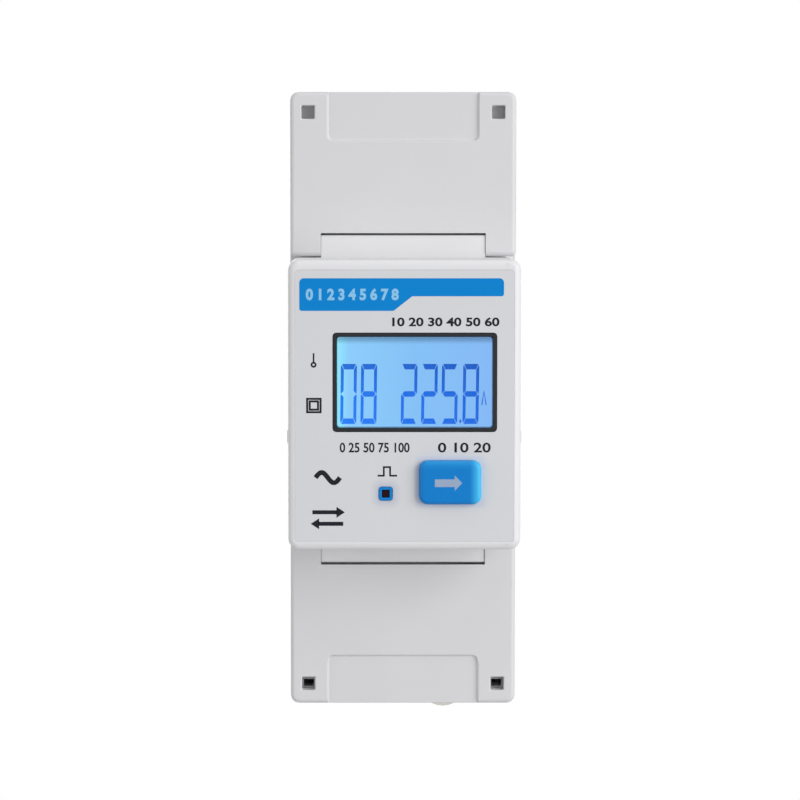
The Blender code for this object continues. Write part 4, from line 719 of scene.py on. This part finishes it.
def film_with_painted_flange_shade():
    """Satin film: flatter and greyer than the moulding. Over the blue flanges of the lamp's bush and the
    button it is painted a darker blue-grey, as shade that fades out past them.

    The real satin grain is a few hundredths of a millimetre wide. It is drawn coarser, so that it shows.
    """
    material, tree, place = new_material("satin_polycarbonate_film")
    grain, colour = two_shades(tree, place, 0.2 * MM, 2.0, "#D7D8DB", "#D4D5D8")
    # painted shade: darker blue-grey over each flange, fading out beyond it
    for node, tint, fade in (("pulse_bezel", "#BDC2CF", 2.0 * MM), ("push_button", "#CCD0DA", 0.8 * MM)):
        low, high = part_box(node)
        outside = vector_calc(tree, "ABSOLUTE", vector_calc(tree, "SUBTRACT", place, (low + high) / 2))
        past = vector_calc(tree, "SUBTRACT", outside, (high - low) / 2 - Vector((FLANGE, 0, FLANGE)))
        flat = vector_calc(tree, "MULTIPLY", vector_calc(tree, "MAXIMUM", past), (1, 0, 1))
        strength = remap(tree, vector_calc(tree, "LENGTH", flat), 0.0, fade, 1.0, 0.0, eased=True)
        colour = blend(tree, strength, colour, linear(tint))
    return finished_material(material, tree, {
        "Base Color": colour, "Roughness": 0.42, "IOR": 1.58, "Specular IOR Level": 0.3,
        "Normal": bumps(tree, grain, 1.0, 0.002 * MM)})


dress("faceplate_film", film_with_painted_flange_shade(), 0.04 * MM, 1, reach=0.08 * MM)
film_face = film_low.y
INK = 0.012 * MM            # thickness of the printed layer


def in_metres(points):
    """Points of an outline given in millimetres, in metres."""
    return [Vector(point) * MM for point in points]


def rounded(corners, steps=6):
    """A flat outline of (x, z, radius) corners in millimetres, each rounded by an arc of its own radius."""
    points = []
    for index, (x, z, radius) in enumerate(corners):
        here = Vector((x, z)) * MM
        back = (Vector(corners[index - 1][:2]) * MM - here).normalized()
        ahead = (Vector(corners[(index + 1) % len(corners)][:2]) * MM - here).normalized()
        half = back.angle(ahead) / 2
        middle = here + (back + ahead).normalized() * (radius * MM / math.sin(half))
        start = here + back * (radius * MM / math.tan(half)) - middle
        turn = math.copysign(math.pi - 2 * half, back.x * ahead.y - back.y * ahead.x)
        for step in range(steps + 1):
            angle = -turn * step / steps
            points.append(middle + Vector((start.x * math.cos(angle) - start.y * math.sin(angle),
                                           start.x * math.sin(angle) + start.y * math.cos(angle))))
    return points


def stroke(points, width, closed=False):
    """A line of even width through (x, z) points in millimetres, mitred at its corners, as shapes."""
    spots = in_metres(points)
    count = len(spots)
    sides = []
    for index, spot in enumerate(spots):
        back = spot - spots[index - 1] if closed or index > 0 else spots[1] - spot
        ahead = spots[(index + 1) % count] - spot if closed or index < count - 1 else back
        back, ahead = back.normalized(), ahead.normalized()
        across = Vector((-back.y - ahead.y, back.x + ahead.x))
        across *= width * MM / across.length_squared
        sides.append((spot + across, spot - across))
    if not closed:
        return [[left for left, right in sides] + [right for left, right in reversed(sides)]]
    pairs = [(sides[index], sides[(index + 1) % count]) for index in range(count)]
    return [[first[0], second[0], second[1], first[1]] for first, second in pairs]


def square(x, z, side):
    """Corners of an upright square round (x, z), in millimetres."""
    return [(x - side / 2, z - side / 2), (x + side / 2, z - side / 2), (x + side / 2, z + side / 2),
            (x - side / 2, z + side / 2)]


def numerals(name, figures, low, high, back, material, weight):
    """Plain figures, printed so that they fill the place from `low` to `high`, both (x, z) in millimetres."""
    curve = bpy.data.curves.new(name, "FONT")
    curve.body = figures
    curve.offset = weight
    curve.resolution_u = 4
    flat = made_plain(in_scene(name, curve))    # in the font's own units
    across = [corner.co.x for corner in flat.vertices]
    upright = [corner.co.y for corner in flat.vertices]
    wide = (high[0] - low[0]) * MM / (max(across) - min(across))
    tall = (high[1] - low[1]) * MM / (max(upright) - min(upright))
    mould = bmesh.new()
    mould.from_mesh(flat)
    bmesh.ops.remove_doubles(mould, verts=mould.verts, dist=1e-6)
    for corner in mould.verts:
        x, y = corner.co.x - min(across), corner.co.y - min(upright)
        corner.co = (low[0] * MM + x * wide, back, low[1] * MM + y * tall)
    thicken(mould, list(mould.faces), 1, back - INK)
    bmesh.ops.recalc_face_normals(mould, faces=mould.faces)
    for face in mould.faces:
        face.smooth = False
    return place_piece(name, as_mesh(name, mould), material, "root", "film")


# Screen inks: a dense, matt layer that hides the film and mirrors almost nothing
blue_ink = moulded("blue_screen_ink", "#0E83D2", "#1186D3", 0.55, 0.2 * MM, 0.002 * MM, 1.5, 0.05)
pale_ink = moulded("pale_blue_screen_ink", "#8AC4E8", "#90C8EA", 0.5, 0.2 * MM, 0.002 * MM, 1.5, 0.12)
black_ink = moulded("black_screen_ink", "#20202A", "#191921", 0.5, 0.2 * MM, 0.002 * MM, 1.5, 0.12)
BAND = [(-16.3, 19.65, 0.7), (15.4, 19.65, 0.7), (15.4, 16.86, 0.4), (1.2, 16.86, 0.4), (-1.7, 14.6, 0.4),
        (-16.3, 14.6, 0.4)]
flat_shapes("print_band", [rounded(BAND)], film_face, INK, blue_ink, "root", "film")
numerals("print_band_scale", "0 1 2 3 4 5 6 7 8", (-15.3, 16.2), (-0.9, 18.1), film_face - INK, pale_ink,
         0.045)
SCALES = {                  # figures, lower left and upper right corner in millimetres, and extra weight
    "upper": ("10 20 30 40 50 60", (-1.9, 12.2), (14.7, 13.6), 0.03),
    "lower_left": ("0 25 50 75 100", (-10.05, -7.4), (0.8, -5.85), 0.02),
    "lower_right": ("0 10 20", (5.2, -7.4), (13.4, -5.85), 0.02),
}
for where, (figures, low, high, weight) in SCALES.items():
    numerals(f"print_{where}_scale", figures, low, high, film_face, black_ink, weight)

# Signs that any meter carries, all in millimetres. First a small ring with a stem
RING_X, RING_Z, RING_RADIUS, RING_LINE, RING_POINTS = -14.09, 6.25, 0.32, 0.27, 16
RING_STEM, STEM_LINE = [(RING_X, 6.68), (RING_X, 8.04)], 0.25
ring = [(RING_X + RING_RADIUS * math.cos(2 * math.pi * point / RING_POINTS),
         RING_Z + RING_RADIUS * math.sin(2 * math.pi * point / RING_POINTS)) for point in range(RING_POINTS)]
signs = stroke(ring, RING_LINE, True) + stroke(RING_STEM, STEM_LINE)

# Double insulation: a square in a square
SQUARE_X, SQUARE_Z, SQUARE_SIDES, SQUARE_LINE = -14.05, -0.08, (2.08, 1.28), 0.31
for side in SQUARE_SIDES:
    signs += stroke(square(SQUARE_X, SQUARE_Z, side), SQUARE_LINE, True)

# A pulse, over the lamp
PULSE = [(-4.15, -11.0), (-3.2, -11.0), (-3.2, -9.66), (-2.22, -9.66), (-2.22, -11.0), (-1.14, -11.0)]
PULSE_LINE = 0.27
signs += stroke(PULSE, PULSE_LINE)

# Alternating current: one full wave. Below it, energy both ways: two arrows
WAVE_X, WAVE_Z, WAVE_HALF, WAVE_RISE, WAVE_LINE, WAVE_STEPS = -11.9, -11.3, 1.9, 0.8, 0.75, 24
wave = []
for step in range(WAVE_STEPS + 1):
    turn = 2 * step / WAVE_STEPS
    wave.append((WAVE_X + WAVE_HALF * (turn - 1), WAVE_Z + WAVE_RISE * math.sin(math.pi * turn)))
signs += stroke(wave, WAVE_LINE)
ARROW_REACH, ARROW_TAIL, ARROW_LINE = 2.65, 2.4, 0.62
HEAD_LENGTH, HEAD_HALF, HEAD_LAP = 1.3, 0.85, 0.1       # the line runs into the head by HEAD_LAP
for way, z in ((1, -16.7), (-1, -18.5)):
    tip, neck = WAVE_X + way * ARROW_REACH, WAVE_X + way * (ARROW_REACH - HEAD_LENGTH)
    signs += stroke([(WAVE_X - way * ARROW_TAIL, z), (neck + way * HEAD_LAP, z)], ARROW_LINE)
    signs.append(in_metres([(tip, z), (neck, z + HEAD_HALF), (neck, z - HEAD_HALF)]))
flat_shapes("print_signs", signs, film_face, INK, black_ink, "root", "film")


# ---------------------------------------------------------------------------------------------------------
# Display: a black moulded frame round a clear pane. Behind the pane lies a reflectionless liquid-crystal
# cell, lit blue by a milky light guide on the display board.
# ---------------------------------------------------------------------------------------------------------

# Glossy-grained black ABS, a touch blue
black_abs = moulded("black_abs_moulded", "#212328", "#1D1F24", 0.45, 0.2 * MM, 0.003 * MM, 1.54, 0.2)
pane_low, pane_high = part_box("display_window")
PANE_ROOM = 0.35 * MM       # the frame's inner walls lie within this of the pane
OPENING_SHIFT = 0.1 * MM


def wider_opening(skin):
    """Thin the frame to its real width: its inner walls move outwards."""
    middle = (pane_low + pane_high) / 2
    room = (pane_high - pane_low) / 2 + Vector((PANE_ROOM, 0, PANE_ROOM))
    for corner in skin.verts:
        away = corner.co - middle
        if abs(away.x) < room.x and abs(away.z) < room.z:
            corner.co.x += math.copysign(OPENING_SHIFT, away.x)
            corner.co.z += math.copysign(OPENING_SHIFT, away.z)


dress("display_bezel", black_abs, 0.05 * MM, reshape=wider_opening)
cell_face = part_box("display_glass")[0].y
NO_LIGHT = "#0E1216"


def backlit(name, colours, upper_shade, shaded, depth):
    """Blue light through the cell: it drifts from left to right, and darkens to `upper_shade` over `shaded`
    below the pane's upper edge.

    `depth` is how far behind the cell's face the light still shows, and `colours` run from left to right.
    """
    material, tree, place = new_material(name)
    across = remap(tree, coordinate(tree, place, "X"), pane_low.x, pane_high.x)
    spread = add(tree, "ShaderNodeValToRGB", inputs={"Fac": across})
    spread.color_ramp.elements[0].color = linear(colours[0][1])
    spread.color_ramp.elements[1].color = linear(colours[-1][1])
    for share, code in colours[1:-1]:
        spread.color_ramp.elements.new(share).color = linear(code)
    # darker towards the upper edge: on the cell, a painted shadow of the frame
    upwards = remap(tree, coordinate(tree, place, "Z"), pane_high.z - shaded, pane_high.z, 1.0, upper_shade,
                    eased=True)
    lit = calc(tree, "LESS_THAN", coordinate(tree, place, "Y"), cell_face + depth)
    light = blend(tree, calc(tree, "MULTIPLY", upwards, lit), linear("#000000"), spread.outputs["Color"])
    return finished_material(material, tree, {
        "Base Color": linear(NO_LIGHT), "Roughness": 0.3, "Specular IOR Level": 0.1,
        "Emission Color": light, "Emission Strength": 1.0})


# Liquid-crystal cell under a polariser: an even blue, greener where the lamps shine in from the left, with a
# painted shadow of the frame along its upper edge
lit_cell = backlit("backlit_liquid_crystal_cell",
                   [(0.0, "#90E6FC"), (0.07, "#8BCCFB"), (0.5, "#84C0F5"), (1.0, "#85B9F5")], 0.55, 1.1 * MM,
                   0.05 * MM)
dress("display_glass", lit_cell, 0.03 * MM, 1, reach=0.13 * MM)
# Switched segments: the polariser passes only deep blue there, darker towards the top
lit_segment = backlit("switched_liquid_crystal",
                      [(0.0, "#1C7DF6"), (0.45, "#1570EC"), (1.0, "#1066DC")], 0.62, 12.0 * MM, 1.0 * MM)
# The figures' sizes are in millimetres
FIGURE_Z, FIGURE_WIDTH, FIGURE_HEIGHT, FIGURE_THICKNESS = 1.64, 2.5, 9.35, 0.03
BAR, STEM, SLIT = 0.86, 0.47, 0.05      # how thick the level and the upright bars are, and how far apart
MITRE = 0.5                 # a bar's long side starts this far in from the figure's side
LEAN = 0.014                # how far the figures lean, across for each unit up
FIGURES = {"0": "abcdef", "2": "abged", "5": "afgcd", "8": "abcdefg"}


def segment(letter, x, z):
    """One of the seven bars of the figure whose centre is at (x, z), as an outline in metres."""
    half_w, half_h = FIGURE_WIDTH / 2, FIGURE_HEIGHT / 2
    inner = half_w - MITRE
    flat = [(-half_w + 0.16, half_h), (half_w - 0.16, half_h), (inner, half_h - BAR), (-inner, half_h - BAR)]
    middle = [(-half_w + 0.2, 0), (-inner, BAR / 2), (inner, BAR / 2), (half_w - 0.2, 0), (inner, -BAR / 2),
              (-inner, -BAR / 2)]
    stem = [(half_w - STEM, BAR / 2 + SLIT), (half_w - 0.08, SLIT), (half_w, SLIT + 0.12),
            (half_w, half_h - 0.42), (half_w - 0.1, half_h - 0.14), (half_w - STEM, half_h - BAR - SLIT)]
    bars = {"a": (flat, 1, 1), "d": (flat, 1, -1), "g": (middle, 1, 1), "b": (stem, 1, 1),
            "c": (stem, 1, -1), "f": (stem, -1, 1), "e": (stem, -1, -1)}
    points, side, up = bars[letter]
    return [((x + side * across + LEAN * up * rise) * MM, (z + up * rise) * MM) for across, rise in points]


segments = []
for figure, x in zip("082258", (-8.67, -5.53, 0.74, 3.90, 7.04, 10.34)):
    segments += [segment(letter, x, FIGURE_Z) for letter in FIGURES[figure]]
DECIMAL_POINT = [(8.5, -2.6), (8.7, -2.2), (8.9, -2.6), (8.7, -3.0)]
CARET = [(11.95, -0.06), (12.14, -0.06), (12.38, 1.75), (12.62, -0.06), (12.81, -0.06), (12.38, 2.3)]
segments += [in_metres(DECIMAL_POINT), in_metres(CARET)]
flat_shapes("display_figures", segments, cell_face, FIGURE_THICKNESS * MM, lit_segment, "root", "display")


def clear(name, ior):
    """Clear plastic from a polished mould: nearly colourless, with a faint wave in its face."""
    material, tree, place = new_material(name)
    return finished_material(material, tree, {
        "Base Color": linear("#FBFDFE"), "Transmission Weight": 1.0, "IOR": ior,
        "Roughness": remap(tree, noise(tree, place, 6 * MM, 1.0), to_low=0.01, to_high=0.05)})


# Coated acrylic: the coating leaves hardly any mirror image, as a low refraction does
coated_acrylic = clear("coated_acrylic_moulded", 1.12)
dress("display_window", coated_acrylic, 0.03 * MM, 1, reach=0.18 * MM)
# Acrylic filled with fine white powder, so that it glows evenly
milky_acrylic = moulded("milky_acrylic_moulded", "#E8EEF2", "#DDE6EC", 0.3, 0.3 * MM, 0.002 * MM, 1.49)
dress("display_backlight", milky_acrylic, 0.1 * MM)


# ---------------------------------------------------------------------------------------------------------
# Push button: a blue moulded key with a pad-printed arrow. It slides in the front face and its stem
# presses the small switch that is soldered on the display board.
# ---------------------------------------------------------------------------------------------------------


def blue_with_painted_edge_light(name, node, glow):
    """Blue ABS, paler and more cyan towards its right and upper edges in a painted highlight, as strong as
    `glow` says.
    """
    material, tree, place = new_material(name)
    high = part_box(node)[1]
    colour = two_shades(tree, place, 0.8 * MM, 2.0, "#007FCE", "#007ACA")[1]
    # painted highlight: paler blue under the upper edge, pale cyan along the right edge
    for axis, edge, start, tint, most in (("Z", high.z, 2.4 * MM, "#2596DC", 0.8 * glow),
                                          ("X", high.x, 2.9 * MM, "#42BDF2", glow)):
        share = remap(tree, coordinate(tree, place, axis), edge - start, edge - 1.1 * MM, 0.0, most,
                      eased=True)
        colour = blend(tree, share, colour, linear(tint))
    return finished_material(material, tree, {
        "Base Color": colour, "Roughness": 0.34, "IOR": 1.54, "Specular IOR Level": 0.2})


# The key carries a painted highlight along its right and upper edges
button_blue = blue_with_painted_edge_light("blue_abs_moulded", "push_button", 1.0)
dress("push_button", button_blue, 0.08 * MM, reach=0.07 * MM)
dress("switch_body", black_epoxy, 0.1 * MM)
# Pad-printing ink: pale and matt
arrow_ink = moulded("pale_grey_pad_ink", "#9FB0CA", "#97A9C4", 0.5, 0.2 * MM, 0.002 * MM, 1.5, 0.12)
ARROW = [(4.7, -12.66), (7.77, -12.66), (7.77, -13.26), (8.94, -12.05), (7.77, -10.84), (7.77, -11.47),
         (4.7, -11.47)]
flat_shapes("button_arrow", [in_metres(ARROW)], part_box("push_button")[0].y, INK, arrow_ink,
            frame["nodes"]["push_button"]["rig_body"], SLOTS["push_button"])


# ---------------------------------------------------------------------------------------------------------
# Pulse lamp: a blue bush in the front face, a smoked red light pipe through it, and the clear domed lamp
# on the board behind.
# ---------------------------------------------------------------------------------------------------------

lamp_blue = blue_with_painted_edge_light("blue_abs_moulded_bush", "pulse_bezel", 0.0)
dress("pulse_bezel", lamp_blue, 0.06 * MM, reach=0.02 * MM)
# Smoked red acrylic: almost black while the lamp is off
smoked_acrylic = moulded("smoked_red_acrylic_moulded", "#2A0709", "#1E0506", 0.3, 0.3 * MM, 0.001 * MM, 1.49,
                         0.1)
dress("pulse_light_pipe", smoked_acrylic, 0.03 * MM, 1, reach=0.04 * MM)
# Cast epoxy: clear, with the normal glint of a lamp's dome
cast_epoxy = clear("clear_epoxy_cast", 1.5)
dress("pulse_lamp", cast_epoxy, 0.05 * MM, 1)


# ---------------------------------------------------------------------------------------------------------
# Terminal covers: shallow caps of white polycarbonate over the clamps, moulded with two ears whose pins turn
# in the hinge tongues. Each has a thumb recess at its free end and two square holes for a seal's wire.
# ---------------------------------------------------------------------------------------------------------

# The covers come from another mould, a shade greyer and more matt than the housing
cover_polycarbonate = moulded("white_polycarbonate_moulded_cover", "#D7D7D9", "#D2D2D4", 0.5)
COVER_FACE, COVER_END = -43.5 * MM, 48.7 * MM
THUMB_HALF_WIDTH, THUMB_START = 12.1 * MM, 41.0 * MM    # the recess runs from here to the cover's end
RIM_ROOM = 0.15 * MM        # the recess's edges lie within this of its outline
FLOOR_ROOM = 0.6 * MM       # and less than this behind the cover's face
END_ROOM = 0.4 * MM         # an edge that lies wholly within this of the cover's end isn't one of them
SEAL_X, SEAL_Z = 15.1 * MM, 45.6 * MM   # the middle of each hole
SEAL_ROOM = 1.2 * MM        # its corners lie within this of it
COVER_REACH = 0.10 * MM     # the cover's walls are drawn this far outwards, to close its gaps


def in_seal_hole(point):
    """Whether a point of a cover belongs to one of its two holes for the seal's wire."""
    return max(abs(abs(point.x) - SEAL_X), abs(abs(point.z) - SEAL_Z)) < SEAL_ROOM


def on_soft_rim(ends):
    """Whether an edge, given by its two ends, lies on a seal's hole or on the rim or floor of the recess."""
    if all(in_seal_hole(end) for end in ends):
        return True
    near = all(abs(end.x) < THUMB_HALF_WIDTH + RIM_ROOM and abs(end.z) > THUMB_START - RIM_ROOM and
               end.y < COVER_FACE + FLOOR_ROOM for end in ends)
    return near and any(abs(end.z) < COVER_END - END_ROOM for end in ends)


def full_seal_holes(skin):
    """Give the holes for the seal's wire back the room that the shifted walls took from them."""
    for corner in skin.verts:
        if in_seal_hole(corner.co):
            for axis, middle in (("x", SEAL_X), ("z", SEAL_Z)):
                along = getattr(corner.co, axis)
                away = math.copysign(COVER_REACH, along * (abs(along) - middle))
                setattr(corner.co, axis, along + away)


for node in ("upper_terminal_cover", "lower_terminal_cover"):
    dress(node, cover_polycarbonate, 0.1 * MM, 3, reach=COVER_REACH, own_edge=0.24 * MM,
          has_own_edge=on_soft_rim, reshape=full_seal_holes)


# ---------------------------------------------------------------------------------------------------------
# Studio: the meter hangs over a pale painted board, between five soft boxes, in a white room. The room
# shows white to the eye and in mirror images, and lights the meter more weakly than that.
# ---------------------------------------------------------------------------------------------------------

FLOOR_Z = -0.12             # the board's height, in metres like all sizes here
FLOOR_HALF = 0.25           # half its side
BOARD_PATCH = 1 / 60        # the paint's shade drifts over patches of this size


def studio_floor():
    """Pale painted board that fades out towards its edges, and isn't there from below."""
    material, tree, place = new_material("pale_painted_board")
    shade = two_shades(tree, place, BOARD_PATCH, 3.0, "#F4F4F4", "#F0F0F1")[1]
    surface = add(tree, "ShaderNodeBsdfDiffuse", inputs={"Color": shade})
    clear_edge = add(tree, "ShaderNodeBsdfTransparent")
    distance = vector_calc(tree, "LENGTH", place)
    fade = remap(tree, distance, FLOOR_HALF * 0.5, FLOOR_HALF * 0.97, eased=True)
    under = add(tree, "ShaderNodeNewGeometry").outputs["Backfacing"]
    mix = add(tree, "ShaderNodeMixShader",
              inputs={0: calc(tree, "MAXIMUM", fade, under), 1: surface.outputs["BSDF"],
                      2: clear_edge.outputs["BSDF"]})
    add(tree, "ShaderNodeOutputMaterial", inputs={"Surface": mix.outputs["Shader"]})
    return material


floor_mesh = bpy.data.meshes.new("floor")
floor_corners = [(FLOOR_HALF * x, FLOOR_HALF * y, FLOOR_Z) for x, y in ((-1, -1), (1, -1), (1, 1), (-1, 1))]
floor_mesh.from_pydata(floor_corners, [], [(0, 1, 2, 3)])
floor_mesh.materials.append(studio_floor())
floor = in_scene("floor", floor_mesh)

ROOM_STRENGTH = 0.37
world = bpy.data.worlds.new("white_room")
world.use_nodes = True
sky = world.node_tree
sky.nodes.clear()
ray = add(sky, "ShaderNodeLightPath").outputs
seen = calc(sky, "MAXIMUM", ray["Is Camera Ray"], ray["Is Transmission Ray"])
seen_or_mirrored = calc(sky, "MAXIMUM", seen, ray["Is Glossy Ray"])
room = add(sky, "ShaderNodeBackground", inputs={"Color": linear("#FFFFFF"), "Strength": ROOM_STRENGTH})
white = add(sky, "ShaderNodeBackground", inputs={"Color": linear("#FFFFFF"), "Strength": 1.0})
both = add(sky, "ShaderNodeMixShader",
           inputs={0: seen_or_mirrored, 1: room.outputs["Background"], 2: white.outputs["Background"]})
add(sky, "ShaderNodeOutputWorld", inputs={"Surface": both.outputs["Shader"]})
bpy.context.scene.world = world

SOFT_BOXES = {              # azimuth and height in degrees from the meter, side in metres, power in watts
    "key": (50.0, 15.0, 0.70, 5.2),
    "front": (34.0, -2.0, 0.50, 1.4),
    "left_fill": (-60.0, 10.0, 0.70, 1.8),
    "top": (0.0, 78.0, 0.60, 1.4),
    "rear": (200.0, 10.0, 0.80, 3.2),
}
SOFT_BOX_DISTANCE = 0.95    # metres from the meter
for name, (azimuth, height, side, power) in SOFT_BOXES.items():
    around, up = math.radians(azimuth), math.radians(height)
    towards = Vector((math.sin(around) * math.cos(up), -math.cos(around) * math.cos(up), math.sin(up)))
    lamp = bpy.data.lights.new(name, "AREA")
    lamp.shape = "SQUARE"
    lamp.size = side
    lamp.energy = power
    light = in_scene(name, lamp)
    light.location = towards * SOFT_BOX_DISTANCE
    light.rotation_euler = (-towards).to_track_quat("-Z", "Y").to_euler()

# A long lens in front of the meter, a little above its middle, that looks slightly down
lens = bpy.data.cameras.new("camera")
lens.lens = 153.2
lens.sensor_width = 36.0
lens.shift_x = 0.0471
lens.shift_y = 0.0225
lens.clip_start = 0.01
lens.clip_end = 10.0
camera = in_scene("camera", lens)
camera.location = (-0.0081, -0.585, 0.0328)
camera.rotation_euler = (math.radians(90 - 3.78), 0, math.radians(-0.17))
bpy.context.scene.camera = camera
bpy.context.scene.view_settings.view_transform = "Standard"
